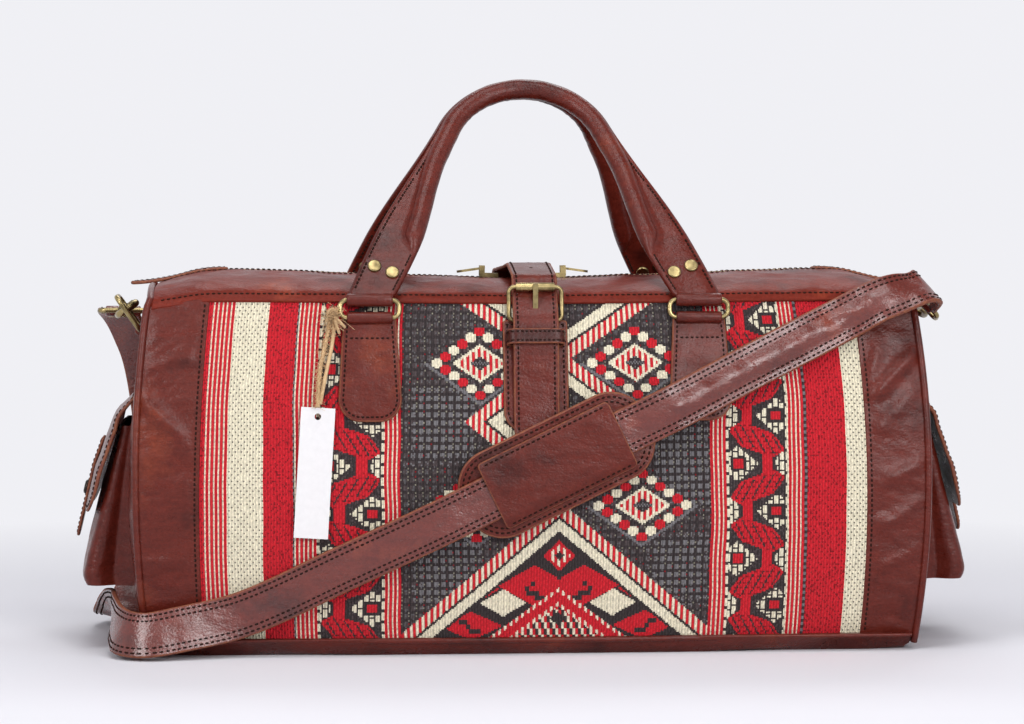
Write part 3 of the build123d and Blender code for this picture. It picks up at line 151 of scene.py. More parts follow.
def nodes_tree(nodes):
    """Search tree over the faces of CAD nodes."""
    points = []
    faces = []
    for name in nodes:
        mesh = FRAME["nodes"][name].data
        start = len(points)
        points += [v.co.copy() for v in mesh.vertices]
        faces += [[start + i for i in p.vertices] for p in mesh.polygons]
    return BVHTree.FromPolygons(points, faces)


def fitted(values, rows):
    return np.linalg.lstsq(np.array(rows), np.array(values), rcond=None)[0]


def face_terms(tree, rays, way, axis, row):
    """Terms of a smooth face, fitted to where rays along one way meet a tree."""
    rows, values = [], []
    for ray in rays:
        hit = tree.ray_cast(Vector(ray), way)[0]
        if hit:
            rows.append(row(ray))
            values.append(hit[axis])
    return fitted(values, rows)


def eased(value, reach):
    """Zero below nothing and the value above it, with a soft turn between them."""
    return (value + math.sqrt(value * value + reach * reach)) / 2


def smoothed(t):
    """Soft step from 0 to 1."""
    t = min(1, max(0, t))
    return t * t * (3 - 2 * t)


class Body:
    """Smooth faces of the bag, read from the CAD panels."""

    HALF_X = 0.26
    MID_Z = 0.12
    POWERS = [(i, j) for i in (0, 2, 4) for j in range(6)]
    # Stretches of the panels that are read
    READ_HALF = 0.24
    SIDE_HEIGHTS = (0.014, 0.23)
    END_HEIGHTS = (0.006, 0.225)
    END_DEPTH = 0.05
    EDGE_START = 0.19
    EDGE_MARGINS = (0.004, 0.006)
    # Fall of the ridge and of the seam past the shoulders
    SHOULDER = 0.2256
    RIDGE_TURN = 0.014
    SEAM_TURN = 0.010
    SEAM_DROP = 0.010
    SEAM_RUN = 0.0564
    SEAM_SAG = 0.002
    # Top facings
    ZIP_HALF = 0.0108
    FACING_PUFF = 0.0056
    FACING_PUFF_POWER = 0.6

    def __init__(self):
        spread = self.READ_HALF
        heights = np.linspace(*self.SIDE_HEIGHTS, 18)
        self.side_terms = face_terms(
            nodes_tree(["front_kilim_panel", "front_left_corner_panel", "front_right_corner_panel"]),
            [(x, -1, z) for x in np.linspace(-spread, spread, 25) for z in heights],
            DEEP,
            1,
            self.side_row,
        )
        self.end_terms = face_terms(
            nodes_tree(["right_end_panel"]),
            [(1, self.END_DEPTH, z) for z in np.linspace(*self.END_HEIGHTS, 30)],
            Vector((-1, 0, 0)),
            0,
            lambda ray: self.height_row(ray[2], 5),
        )
        self.ridge_terms = face_terms(
            nodes_tree(["zip_tape"]),
            [(x, 0, 1) for x in np.linspace(-spread, spread, 49)],
            Vector((0, 0, -1)),
            2,
            lambda ray: self.ridge_row(ray[0]),
        )
        low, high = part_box("front_kilim_panel")
        self.kilim_low = low.z
        self.kilim_high = high.z
        self.kilim_half = high.x
        self.half_terms = self.edge_terms(nodes_tree(["front_kilim_panel"]))

    def edge_terms(self, kilim):
        """Terms of the kilim's upright edge, found from outside at each height."""
        foot, head = self.EDGE_MARGINS
        rows, values = [], []
        for z in np.linspace(self.kilim_low + foot, self.kilim_high - head, 24):
            for x in np.linspace(self.EDGE_START, self.kilim_half, 300)[::-1]:
                if kilim.ray_cast(Vector((x, -1, z)), DEEP)[0]:
                    rows.append(self.height_row(z, 4))
                    values.append(x)
                    break
        return fitted(values, rows)

    def side_row(self, ray):
        x, _, z = ray
        return [(x / self.HALF_X) ** i * ((z - self.MID_Z) / self.MID_Z) ** j for i, j in self.POWERS]

    def height_row(self, z, count):
        return [((z - self.MID_Z) / self.MID_Z) ** j for j in range(count)]

    def ridge_row(self, x):
        return [1, abs(x), eased(abs(x) - self.SHOULDER, self.RIDGE_TURN)]

    def at_height(self, terms, z):
        return sum(term * ((z - self.MID_Z) / self.MID_Z) ** j for j, term in enumerate(terms))

    def ridge(self, x):
        """Height of the zip's ridge."""
        return float(np.dot(self.ridge_row(x), self.ridge_terms))

    def seam(self, x):
        """Height of the seam under the top facings."""
        drop = self.SEAM_DROP * eased(abs(x) - self.SHOULDER, self.SEAM_TURN) / self.SEAM_RUN
        return self.kilim_high - self.SEAM_SAG * (1 - min(1, abs(x) / self.SHOULDER)) - drop

    def side(self, x, z):
        """Depth of the front face, for single places or whole arrays."""
        total = 0
        for term, (i, j) in zip(self.side_terms, self.POWERS):
            total = total + term * (x / self.HALF_X) ** i * ((z - self.MID_Z) / self.MID_Z) ** j
        return total

    def end(self, z):
        """How far the right end reaches out."""
        return self.at_height(self.end_terms, z)

    def kilim_edge(self, z):
        """How far the kilim reaches to the right."""
        return self.at_height(self.half_terms, z)

    def front(self, x, z):
        """Place and outward direction on the front face."""
        depth = self.side(x, z)
        along = (self.side(x + SLOPE_STEP, z) - depth) / SLOPE_STEP
        up = (self.side(x, z + SLOPE_STEP) - depth) / SLOPE_STEP
        return Vector((x, depth, z)), Vector((along, -1, up)).normalized()

    def right_end(self, y, z):
        """Place and outward direction on the right end."""
        out = self.end(z)
        up = (self.end(z + SLOPE_STEP) - out) / SLOPE_STEP
        return Vector((out, y, z)), Vector((1, 0, -up)).normalized()

    def facing(self, x, t):
        """Place on the front top facing, from the seam to the zip as t goes from 0 to 1."""
        z = self.seam(x)
        start = Vector((x, self.side(x, z), z))
        stop = Vector((x, -self.ZIP_HALF, self.ridge(x)))
        across = (stop - start).normalized()
        out = Vector((0, -across.z, across.y))
        puff = self.FACING_PUFF * math.sin(math.pi * max(0, t) ** self.FACING_PUFF_POWER)
        return start + (stop - start) * t + out * puff, out


def on_front(x, z):
    """Place and outward direction of a patch laid on the front face."""
    spot, out = Shop.body.front(x, z)
    return spot + out * PATCH_GAP, out


def arc_outline(points, radii, step):
    """Closed outline through 2D corners, each rounded by its radius and divided evenly."""
    count = len(points)
    path = []
    for i in range(count):
        before, corner, after = Vector(points[i - 1]), Vector(points[i]), Vector(points[(i + 1) % count])
        path += corner_points(before, corner, after, radii[i], step)
    return even_path(path + [path[0]], step)[:-1]


def rounded(low, high, radii, step):
    """Outline of a rectangle between two corners, each of its corners with a radius."""
    return arc_outline([low, (high[0], low[1]), high, (low[0], high[1])], radii, step)


def corner_points(before, corner, after, radius, step):
    """Points of one corner, rounded by an arc that fits its two runs."""
    back = (before - corner).normalized()
    on = (after - corner).normalized()
    turn = math.pi - back.angle(on)
    if radius <= 0 or turn < 0.01:
        return [corner.copy()]
    cut = min(radius * math.tan(turn / 2), 0.49 * (before - corner).length, 0.49 * (after - corner).length)
    start, stop = corner + back * cut, corner + on * cut
    count = max(3, int(cut * 2 / step))
    curve = []
    weight = math.cos(turn / 2)
    for k in range(count + 1):
        t = k / count
        a, b, c = (1 - t) ** 2, 2 * t * (1 - t) * weight, t * t
        curve.append((start * a + corner * b + stop * c) / (a + b + c))
    return curve


def bent_path(points, bend, step):
    """Open path through points with its corners rounded."""
    points = [Vector(p) for p in points]
    path = [points[0]]
    for i in range(1, len(points) - 1):
        path += corner_points(points[i - 1], points[i], points[i + 1], bend, step)
    path.append(points[-1])
    return even_path(path, step)


def even_path(path, step):
    """The same path with corners kept and long runs divided."""
    out = [path[0]]
    for a, b in zip(path, path[1:]):
        span = (b - a).length
        if span < 1e-7:
            continue
        count = max(1, round(span / step))
        out += [a + (b - a) * (k / count) for k in range(1, count + 1)]
    return out


def path_lengths(path):
    total = [0.0]
    for a, b in zip(path, path[1:]):
        total.append(total[-1] + (b - a).length)
    return total


def on_path(path, lengths, s):
    """Point and direction at a distance along a path, run straight on past its ends."""
    index = int(np.clip(np.searchsorted(lengths, s) - 1, 0, len(path) - 2))
    a, b = path[index], path[index + 1]
    way = (b - a).normalized()
    return a + way * (s - lengths[index]), way


def inside_mask(outline, spots, margin):
    """Which 2D spots lie inside an outline by a margin."""
    ring = np.array([tuple(p) for p in outline])
    after = np.roll(ring, -1, axis=0)
    x, y = spots[:, 0], spots[:, 1]
    odd = np.zeros(len(spots), bool)
    near = np.full(len(spots), 1e9)
    for (ax, ay), (bx, by) in zip(ring, after):
        if ay != by:
            crosses = ((ay > y) != (by > y)) & (x < (bx - ax) * (y - ay) / (by - ay) + ax)
            odd ^= crosses
        dx, dy = bx - ax, by - ay
        size = dx * dx + dy * dy
        if size == 0:
            continue
        t = np.clip(((x - ax) * dx + (y - ay) * dy) / size, 0, 1)
        near = np.minimum(near, np.hypot(x - ax - t * dx, y - ay - t * dy))
    return odd & (near > margin)


def inset(outline, amount):
    """The same outline moved inwards."""
    count = len(outline)
    moved = []
    for i in range(count):
        a, b, c = outline[i - 1], outline[i], outline[(i + 1) % count]
        first, second = (b - a).normalized(), (c - b).normalized()
        n1, n2 = Vector((-first.y, first.x)), Vector((-second.y, second.x))
        both = n1 + n2
        size = both.length_squared
        moved.append(b + both * (2 * amount / size if size > 0.3 else amount))
    return moved


def turned_left(outline):
    """The same outline, run anticlockwise."""
    area = sum(a.x * b.y - b.x * a.y for a, b in zip(outline, outline[1:] + outline[:1]))
    return outline if area > 0 else outline[::-1]


def crease(a, b, stretch, scale, seed):
    """Soft folds, long in one direction."""
    spot = Vector((a * scale * stretch[0], b * scale * stretch[1], seed))
    wave = noise.fractal(spot, 0.9, 2.1, 3)
    return 0.5 - abs(wave) * 1.6


def tube_faces(count, sides):
    """Faces of a tube of so many rings, with its closed ends."""
    faces = []
    for i in range(count - 1):
        for k in range(sides):
            j = (k + 1) % sides
            faces.append([i * sides + k, i * sides + j, (i + 1) * sides + j, (i + 1) * sides + k])
    faces.append(list(range(sides))[::-1])
    faces.append([(count - 1) * sides + k for k in range(sides)])
    return faces


def sheet_faces(rows, columns):
    """Faces of an open grid, row by row."""
    width = columns + 1
    corners = (0, 1, width + 1, width)
    return [[j * width + i + c for c in corners] for j in range(rows) for i in range(columns)]


def flat_relief(a, b):
    return 0.0


def placed(name, mesh, body, nodes):
    """New object of a mesh, riding on its body in place of its CAD nodes."""
    mesh.update()
    piece = bpy.data.objects.new(name, mesh)
    bpy.context.scene.collection.objects.link(piece)
    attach(piece, body)
    if nodes:
        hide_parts(*nodes)
    return piece


class Piece:
    """Collects the faces of one piece."""

    def __init__(self):
        self.points = []
        self.faces = []
        self.finishes = []

    def put(self, points, faces, finish):
        start = len(self.points)
        self.points += points
        self.faces += [[start + i for i in face] for face in faces]
        self.finishes += [finish] * len(faces)

    def add(self, other):
        """Take in the faces of another piece."""
        start = len(self.points)
        self.points += other.points
        self.faces += [[start + i for i in face] for face in other.faces]
        self.finishes += other.finishes

    def leaf(self, outline, place, thick, step, relief=flat_relief, roll=None, edge=RAW_EDGE):
        """Sheet of leather with rounded edges, laid on a surface. Later stitches lie on it."""
        self.place = place
        self.height = thick
        self.relief = relief
        outline = turned_left([Vector(p) for p in outline])
        roll = thick / 2 if roll is None else roll
        ring = inset(outline, roll)
        xs = [p.x for p in ring]
        ys = [p.y for p in ring]
        gx = np.arange(min(xs), max(xs), step)
        gy = np.arange(min(ys), max(ys), step)
        spots = np.stack(np.meshgrid(gx, gy), -1).reshape(-1, 2)
        spots = spots[inside_mask(ring, spots, step * 0.45)] if len(spots) else spots
        count = len(ring)
        flat = [Vector((p.x, p.y)) for p in ring] + [Vector(s) for s in spots]
        loop = list(range(count))
        edges = [(i, (i + 1) % count) for i in range(count)]
        verts, _, tris, _, _, _ = geometry.delaunay_2d_cdt(flat, edges, [loop], 1, 1e-7)
        upper, lower = [], []
        for v in verts:
            base, out = place(v.x, v.y)
            lower.append(base)
            upper.append(base + out * (thick + relief(v.x, v.y)))
        self.put(upper, [list(t) for t in tris], HIDE)
        self.put(lower, [list(t)[::-1] for t in tris], HIDE)
        turns = 4
        rows = []
        for k in range(turns + 1):
            angle = math.pi * k / turns
            row = []
            for p, q in zip(ring, outline):
                away = p + (q - p) * math.sin(angle)
                base, out = place(away.x, away.y)
                row.append(base + out * ((thick + relief(p.x, p.y)) * (1 + math.cos(angle)) / 2))
            rows.append(row)
        points = [p for row in rows for p in row]
        quads = []
        for k in range(turns):
            for i in range(count):
                j = (i + 1) % count
                quads.append([k * count + i, (k + 1) * count + i, (k + 1) * count + j, k * count + j])
        self.put(points, quads, edge)

    def bead(self, start, stop, out, width, height, finish=THREAD):
        """One stitch or tooth, a rounded bar that lies on a face."""
        along = stop - start
        side = along.cross(out).normalized()
        points = []
        shares = ((0, 0.45), (0.18, 1), (0.82, 1), (1, 0.45))
        for place, size in shares:
            middle = start + along * place
            for k in range(5):
                angle = math.pi * k / 4
                off = side * (math.cos(angle) * width / 2 * size)
                points.append(middle + off + out * ((math.sin(angle) - BEAD_SUNK_SHARE) * height * size))
        faces = []
        for r in range(3):
            for k in range(4):
                a = r * 5 + k
                faces.append([a, a + 1, a + 6, a + 5])
        faces += [[4, 3, 2, 1, 0], [15, 16, 17, 18, 19]]
        faces += [[r * 5, r * 5 + 5, r * 5 + 9, r * 5 + 4] for r in range(3)]
        self.put(points, faces, finish)

    def stitch(self, start, stop, out, sizes):
        """One stitch of the sewing thread."""
        self.bead(start, stop, out, sizes.stitch_width, sizes.stitch_width * STITCH_HEIGHT_SHARE)

    def stitches(self, path, sizes, pitch=None):
        """Row of stitches along a 2D path over the sheet laid last."""
        path = [Vector(p) for p in path]
        lengths = path_lengths(path)
        pitch = pitch or sizes.stitch_pitch
        count = max(1, int(lengths[-1] / pitch))
        half = sizes.stitch * min(1, pitch / sizes.stitch_pitch) / 2
        for k in range(count):
            spot, way = on_path(path, lengths, (k + 0.5) * lengths[-1] / count)
            ends = []
            for sign in (-1, 1):
                p = spot + way * (half * sign)
                base, out = self.place(p.x, p.y)
                ends.append(base + out * (self.height + self.relief(p.x, p.y)))
            self.stitch(*ends, out, sizes)

    def hem(self, outline, margin, sizes, pitch=None):
        """Stitches all round the sheet, inside its edge."""
        path = inset(turned_left(outline), margin)
        self.stitches(path + path[:1], sizes, pitch)

    def row(self, start, stop, step, sizes, pitch=None):
        """Straight row of stitches over the sheet."""
        self.stitches(even_path([Vector(start), Vector(stop)], step), sizes, pitch)

    def tube(self, path, radius, sides=10, finish=HIDE, radii=None):
        """Round cord along 3D points with closed ends."""
        path = [Vector(p) for p in path]
        count = len(path)
        normal = None
        points = []
        for i, p in enumerate(path):
            way = (path[min(i + 1, count - 1)] - path[max(i - 1, 0)]).normalized()
            if normal is None:
                normal = way.orthogonal().normalized()
            normal = (normal - way * normal.dot(way)).normalized()
            other = way.cross(normal)
            size = radii[i] if radii else radius
            for k in range(sides):
                angle = 2 * math.pi * k / sides
                points.append(p + (normal * math.cos(angle) + other * math.sin(angle)) * size)
        self.put(points, tube_faces(count, sides), finish)

    def roll(self, middle, axis, radius, half):
        """Leather turned round a bar, with softly rounded ends."""
        axis = axis.normalized()
        shares = ((0.3, 1), (0.9, 1), (0.97, 0.94), (1, 0.8))
        path, radii = [], []
        for t, size in [(-t, size) for t, size in shares[::-1]] + list(shares):
            path.append(middle + axis * (half * t))
            radii.append(radius * size)
        self.tube(path, radius, 16, radii=radii)

    def flipped(self, x=1, y=1):
        """The same piece mirrored to the other end or the other side."""
        other = Piece()
        other.points = [Vector((p.x * x, p.y * y, p.z)) for p in self.points]
        turn = x * y < 0
        other.faces = [f[::-1] if turn else f for f in self.faces]
        other.finishes = list(self.finishes)
        return other

    def make(self, name, finishes, body, slot, nodes=()):
        """The finished object, with its finishes in the order of their numbers."""
        mesh = bpy.data.meshes.new(name)
        mesh.from_pydata([tuple(p) for p in self.points], [], self.faces)
        for material in finishes:
            mesh.materials.append(material)
        mesh.polygons.foreach_set("material_index", self.finishes)
        mesh.polygons.foreach_set("use_smooth", [True] * len(self.faces))
        return placed(name, mesh, body, nodes)

    def sew(self, name, node, body="bag", hide="leather"):
        """The finished leather piece, in place of its CAD node."""
        return self.make(name, Shop.sewn(hide), body, "leather", [node])


def shader(name):
    """New material with its node tree, its shader and the object's own coordinates."""
    material = bpy.data.materials.new(name)
    material.use_nodes = True
    tree = material.node_tree
    bsdf = tree.nodes["Principled BSDF"]
    coords = tree.nodes.new("ShaderNodeTexCoord")
    return material, tree, bsdf, coords.outputs["Object"]


def fill(tree, node, values):
    """Set inputs of a node, each to a plain value or linked to an output."""
    for name, value in values.items():
        if isinstance(value, bpy.types.NodeSocket):
            tree.links.new(value, node.inputs[name])
        else:
            node.inputs[name].default_value = value


def add_node(tree, kind, values):
    node = tree.nodes.new("ShaderNode" + kind)
    fill(tree, node, values)
    return node


def noise_node(tree, vector, scale, detail=3.0, roughness=0.55, stretch=None):
    if stretch:
        vector = add_node(tree, "Mapping", {"Scale": stretch, "Vector": vector}).outputs["Vector"]
    values = {"Vector": vector, "Scale": scale, "Detail": detail, "Roughness": roughness}
    return add_node(tree, "TexNoise", values).outputs["Fac"]


def ramp_node(tree, value, stops):
    node = add_node(tree, "ValToRGB", {"Fac": value})
    ramp = node.color_ramp
    while len(ramp.elements) < len(stops):
        ramp.elements.new(0.5)
    for element, (place, colour) in zip(ramp.elements, stops):
        element.position = place
        element.color = (*colour, 1)
    return node.outputs["Color"]


def range_node(tree, value, low, high, start=0.3, stop=0.7):
    values = {"Value": value, "From Min": start, "From Max": stop, "To Min": low, "To Max": high}
    return add_node(tree, "MapRange", values).outputs["Result"]


def multiplied(tree, share, first, second):
    node = tree.nodes.new("ShaderNodeMix")
    node.data_type = "RGBA"
    node.blend_type = "MULTIPLY"
    fill(tree, node, {"Factor": share, "A": first, "B": second})
    return node.outputs["Result"]


def bumped(tree, heights, bsdf):
    """Chain of bumps, each a height, a strength and a distance."""
    before = {}
    for height, strength, distance in heights:
        values = {"Height": height, "Strength": strength, "Distance": distance, **before}
        before = {"Normal": add_node(tree, "Bump", values).outputs["Normal"]}
    fill(tree, bsdf, before)


def dot_node(tree, vector, scale):
    return add_node(tree, "TexVoronoi", {"Vector": vector, "Scale": scale}).outputs["Distance"]


def leather_finish(colours, name, deep, gloss):
    """Polished leather with patina, pores and fine creases."""
    material, tree, bsdf, spot = shader(name)
    # deep scales every tone; above 1 it makes a lighter copy of the same leather, used as painted light on
    # the top facings and the shoulder strap
    light = [c * deep for c in colours.leather_light]
    plain = [c * deep for c in colours.leather]
    dark = [c * deep for c in colours.leather_dark]
    patina = noise_node(tree, spot, 17, 6, 0.62)
    tone = ramp_node(tree, patina, [(0.30, dark), (0.45, plain), (0.58, plain), (0.76, light)])
    grain = noise_node(tree, spot, 420, 4, 0.65)
    spots = ramp_node(tree, grain, [(0.3, (0.66, 0.60, 0.58)), (0.62, (1.0, 1.0, 1.0))])
    tone = multiplied(tree, 0.7, tone, spots)
    streak = noise_node(tree, spot, 95, 5, 0.7, (0.35, 0.35, 1.6))
    rubbed = ramp_node(tree, streak, [(0.40, (0.82, 0.80, 0.78)), (0.66, (1.12, 1.12, 1.10))])
    tone = multiplied(tree, 0.8, tone, rubbed)
    fold = noise_node(tree, spot, 52, 6, 0.62, (1, 1, 1.9))
    rough = range_node(tree, fold, 0.26 - 0.14 * gloss, 0.44 - 0.18 * gloss)
    fill(tree, bsdf, {"Base Color": tone, "Roughness": rough, "Specular IOR Level": gloss})
    fill(tree, bsdf, {"Coat Weight": gloss * 0.15, "Coat Roughness": 0.14})
    pores = dot_node(tree, spot, 620)
    bumped(tree, [(fold, 0.42, 0.0028), (pores, 0.14, 0.0008), (grain, 0.22, 0.0006)], bsdf)
    return material


def raw_edge_finish(colours):
    material, tree, bsdf, spot = shader("cut_leather_edge")
    fibre = noise_node(tree, spot, 300, 4, 0.7)
    tone = ramp_node(tree, fibre, [(0.3, colours.leather), (0.6, colours.raw_edge)])
    fill(tree, bsdf, {"Base Color": tone, "Roughness": range_node(tree, fibre, 0.55, 0.8)})
    bumped(tree, [(fibre, 0.3, 0.0005)], bsdf)
    return material


def thread_finish(colours):
    material, tree, bsdf, spot = shader("waxed_thread")
    twist = noise_node(tree, spot, 1400, 2, 0.5)
    tone = ramp_node(tree, twist, [(0.3, colours.thread), (0.75, [c * 1.6 for c in colours.thread])])
    fill(tree, bsdf, {"Base Color": tone, "Roughness": 0.8, "Specular IOR Level": 0.08})
    bumped(tree, [(twist, 0.4, 0.0003)], bsdf)
    return material


def brass_finish(name, tint, dark):
    """Old metal, darker where it has aged."""
    material, tree, bsdf, spot = shader(name)
    age = noise_node(tree, spot, 90, 6, 0.65)
    worn = noise_node(tree, spot, 700, 3, 0.6)
    tone = ramp_node(tree, age, [(0.32, dark), (0.6, tint)])
    rough = range_node(tree, age, 0.42, 0.24)
    fill(tree, bsdf, {"Base Color": tone, "Metallic": 1.0, "Roughness": rough})
    bumped(tree, [(worn, 0.08, 0.0003)], bsdf)
    return material


def weave_finish():
    """Yarn whose colour, painted cord shade included, is stored with the weave, with fibres and soft sheen.
    """
    material, tree, bsdf, spot = shader("kilim_weave")
    yarn = tree.nodes.new("ShaderNodeVertexColor")
    yarn.layer_name = "yarn"
    fibre = noise_node(tree, spot, 1900, 4, 0.7, (1, 1, 0.45))
    shade = ramp_node(tree, fibre, [(0.25, (0.55, 0.55, 0.55)), (0.65, (1.0, 1.0, 1.0))])
    tone = multiplied(tree, 0.6, yarn.outputs["Color"], shade)
    fill(tree, bsdf, {"Base Color": tone, "Roughness": 0.92, "Specular IOR Level": 0.2, "Sheen Weight": 0.12})
    bumped(tree, [(fibre, 0.5, 0.0006)], bsdf)
    return material


def cloth_finish(name, tint, light):
    material, tree, bsdf, spot = shader(name)
    fibre = noise_node(tree, spot, 900, 3, 0.7)
    tone = ramp_node(tree, fibre, [(0.3, tint), (0.75, light)])
    fill(tree, bsdf, {"Base Color": tone, "Roughness": 0.9})
    bumped(tree, [(fibre, 0.5, 0.0005)], bsdf)
    return material


def card_finish(colours):
    material, tree, bsdf, spot = shader("white_card")
    fibre = noise_node(tree, spot, 260, 4, 0.6)
    shade = tuple(c * 0.95 for c in colours.card)
    tone = ramp_node(tree, fibre, [(0.3, shade), (0.7, colours.card)])
    fill(tree, bsdf, {"Base Color": tone, "Roughness": 0.7})
    bumped(tree, [(fibre, 0.08, 0.0002)], bsdf)
    return material


class Shop:
    """What every operator needs: the body's faces and the finishes."""

    body = None
    finish = {}

    @classmethod
    def open(cls, colours):
        cls.body = Body()
        cls.finish = {
            "leather": leather_finish(colours, "polished_leather", 1.0, 0.24),
            # Top facings: the same leather with every tone 1.45 times lighter, painted light on the strip
            # that faces up
            "top": leather_finish(colours, "top_leather_painted_light", 1.45, 0.06),
            # Shoulder strap: real higher gloss, and every tone 1.2 times lighter as a painted highlight
            "strap": leather_finish(colours, "strap_leather", 1.2, 0.68),
            "keeper": leather_finish(colours, "dark_leather", 0.5, 0.24),
            "edge": raw_edge_finish(colours),
            "thread": thread_finish(colours),
            "brass": brass_finish("old_brass", colours.brass, (0.10, 0.078, 0.036)),
            "stud": brass_finish("dark_stud", colours.dark_metal, (0.02, 0.017, 0.016)),
            "weave": weave_finish(),
            "tape": cloth_finish("zip_cloth", colours.tape, (0.07, 0.04, 0.03)),
            "twine": cloth_finish("jute", colours.twine, (0.72, 0.52, 0.30)),
            "card": card_finish(colours),
        }

    @classmethod
    def sewn(cls, hide="leather"):
        """Finishes of a leather piece, in the order of its material slots."""
        return [cls.finish[hide], cls.finish["edge"], cls.finish["thread"]]


def coat(node, finish):
    """CAD node, given one of the shop's finishes."""
    piece = FRAME["nodes"][node]
    piece.data.materials.clear()
    piece.data.materials.append(Shop.finish[finish])
    return piece


# The weave, in millimetres across the panel at its widest and up from the floor
BANDS = (
    (-224.0, "red"),
    (-208.0, "lines"),
    (-185.0, "cream"),
    (-165.5, "red"),
    (-163.6, "grey"),
    (-149.0, "lines"),
    (-103.0, "hooks"),
    (-92.5, "lines"),
    (119.0, "field"),
    (130.5, "lines"),
    (172.5, "hooks"),
    (184.0, "lines"),
    (186.0, "grey"),
    (213.0, "red"),
    (260.0, "cream"),
)
BAND_START = -260.0
FIELD_MIDDLE = 15.5
DIAMONDS = ((-54, 199.5), (54, 199.5), (-56, 102.5), (56, 102.5))
# Places in the charcoal ground where grey checks gather, with their half sizes
CHECKS = ((-79, 158, 27, 30), (-77, 60, 26, 30), (85, 130, 24, 34), (83, 58, 24, 28))
HOOK_PERIOD = 65.0
HOOK_WIDTH = 43.0
# Lower band of the lattice: its height in the middle, its slope, and the depth down to the foot motif
FOOT_TOP = 101
FOOT_SLOPE = 0.85
FOOT_DEPTH = 17
# Cloth tucked under the leather beside it, above it and below it
WEAVE_TUCK = 0.001
WEAVE_TUCK_TOP = 0.0015


def stripe(column):
    return "cream" if column % 4 < 2 else "red"


def speckle(column, row):
    return "dull" if column % 4 == 3 and row % 5 < 3 else "cream"


def diamond_yarn(x, z, column, row):
    """Beaded diamond with a striped middle, about its own centre."""
    ax, az = abs(x), abs(z)
    for step in range(6):
        across, up = abs(ax - 6.0 * step), abs(az - 4.35 * (5 - step))
        if across < 3.5 and up < 2.9 and across / 3.5 + up / 2.9 < 1.5:
            return "cream" if step % 2 else "red"
    if ax / 7.0 + az / 4.8 < 1:
        return "grey" if (ax < 0.8 or az < 0.8) and (column + row) % 2 else "black"
    core = ax / 19.5 + az / 12.9
    if core < 1:
        if core > 0.84:
            return "cream"
        return stripe(column)
    if z < 0 and abs(ax / 38 + az / 27.5 - 1) < 0.04:
        return "grey"
    return None


def striped(depth, column, row):
    """Striped band with a cream band inside it, by the depth inwards."""
    if abs(depth) < 5:
        return stripe(column)
    if 7.2 < depth < 15.6:
        return speckle(column, row)
    if 5 <= depth < 18:
        return "black"
    return None


def lattice_yarn(x, z, column, row):
    """Striped bands that cross over the field."""
    ax = abs(x)
    if z > 200 or (z > 160 and z > 204 - 0.772 * ax + 8):
        found = striped(z - (202 + 0.635 * ax), column, row)
        if found:
            return found
    if 112 < z < 208:
        found = striped(44 * (1 - ax / 57) - abs(z - 160) + 1, column, row)
        if found:
            return found
    if z < 116:
        return striped((FOOT_TOP - FOOT_SLOPE * ax) - z, column, row)
    return None


def foot_yarn(x, z, column, row):
    """Hooks, lozenges and chevron under the lower point of the lattice."""
    ax = abs(x)
    small = ax / 11 + abs(z - 68.5) / 10.5
    if small < 1:
        return "black" if small < 0.33 else "red" if small > 0.74 else stripe(column)
    chevron = 40 - 0.72 * ax - z
    if abs(chevron) < 3.4:
        return "red"
    if abs(chevron) < 6.4:
        return stripe(column)
    if chevron >= 6.4:
        if ax / 6 + abs(z - 25) / 4.5 < 1:
            return "black"
        return ("cream", "red", "black")[(column // 2 + row // 4) % 3]
    hook = abs(ax - 17) / 25 + abs(z - 48) / 14
    if hook < 1:
        step = math.floor((z - 38) / 3.3)
        hooked = 0 <= step < 4 and abs(ax - (13, 18, 22, 18)[step]) < (3.2, 4.2, 1.6, 1.6)[step]
        return "black" if hooked or (ax < 1.2 and z > 52) else "red"
    if abs(ax - 38) / 16 + abs(z - 36) / 9.5 < 1:
        return speckle(column, row)
    if abs(ax - 50) / 9 + abs(z - 46) / 6 < 1 or abs(ax - 60) / 22 + abs(z - 20) / 10 < 1:
        step = math.floor((z - 15) / 3.3)
        hooked = 0 <= step < 3 and abs(ax - (58, 62, 66)[step]) < (4.0, 1.6, 3.0)[step]
        return "black" if hooked else "red"
    return "black"


def ground_yarn(x, z, column, row, chance):
    """Charcoal ground: a dark grid with grey checks that gather in places and dashes between them."""
    near = max(1 - max(abs(x - cx) / half, abs(z - cz) / tall) for cx, cz, half, tall in CHECKS)
    across, up = column % 5, row % 5
    if across < 3 and up < 3:
        if chance < near * 2.6:
            return "grey"
        return "dark" if chance > 0.25 else "dim"
    if across == 3 and up in (1, 3):
        return "pale" if chance > 0.55 else "shade" if chance < 0.16 else "black"
    if across == 1 and up == 4 and chance > 0.6:
        return "dim"
    return "black"


def field_yarn(u, z, column, row, chance):
    """Middle field: diamonds, lattice, foot motif and the dark ground behind them."""
    x = u - FIELD_MIDDLE
    for cx, cz in DIAMONDS:
        found = diamond_yarn(x - cx, z - cz, column, row)
        if found:
            return found
    found = lattice_yarn(x, z, column, row)
    if found:
        return found
    if z < FOOT_TOP - FOOT_SLOPE * abs(x) - FOOT_DEPTH:
        return foot_yarn(x, z, column, row)
    return ground_yarn(x, z, column, row, chance)


def ladder(column, row):
    """Short cream floats, stepped like rungs."""
    return "black" if column % 4 == 0 or (row + 3 * (column // 4 % 2)) % 6 == 0 else "cream"


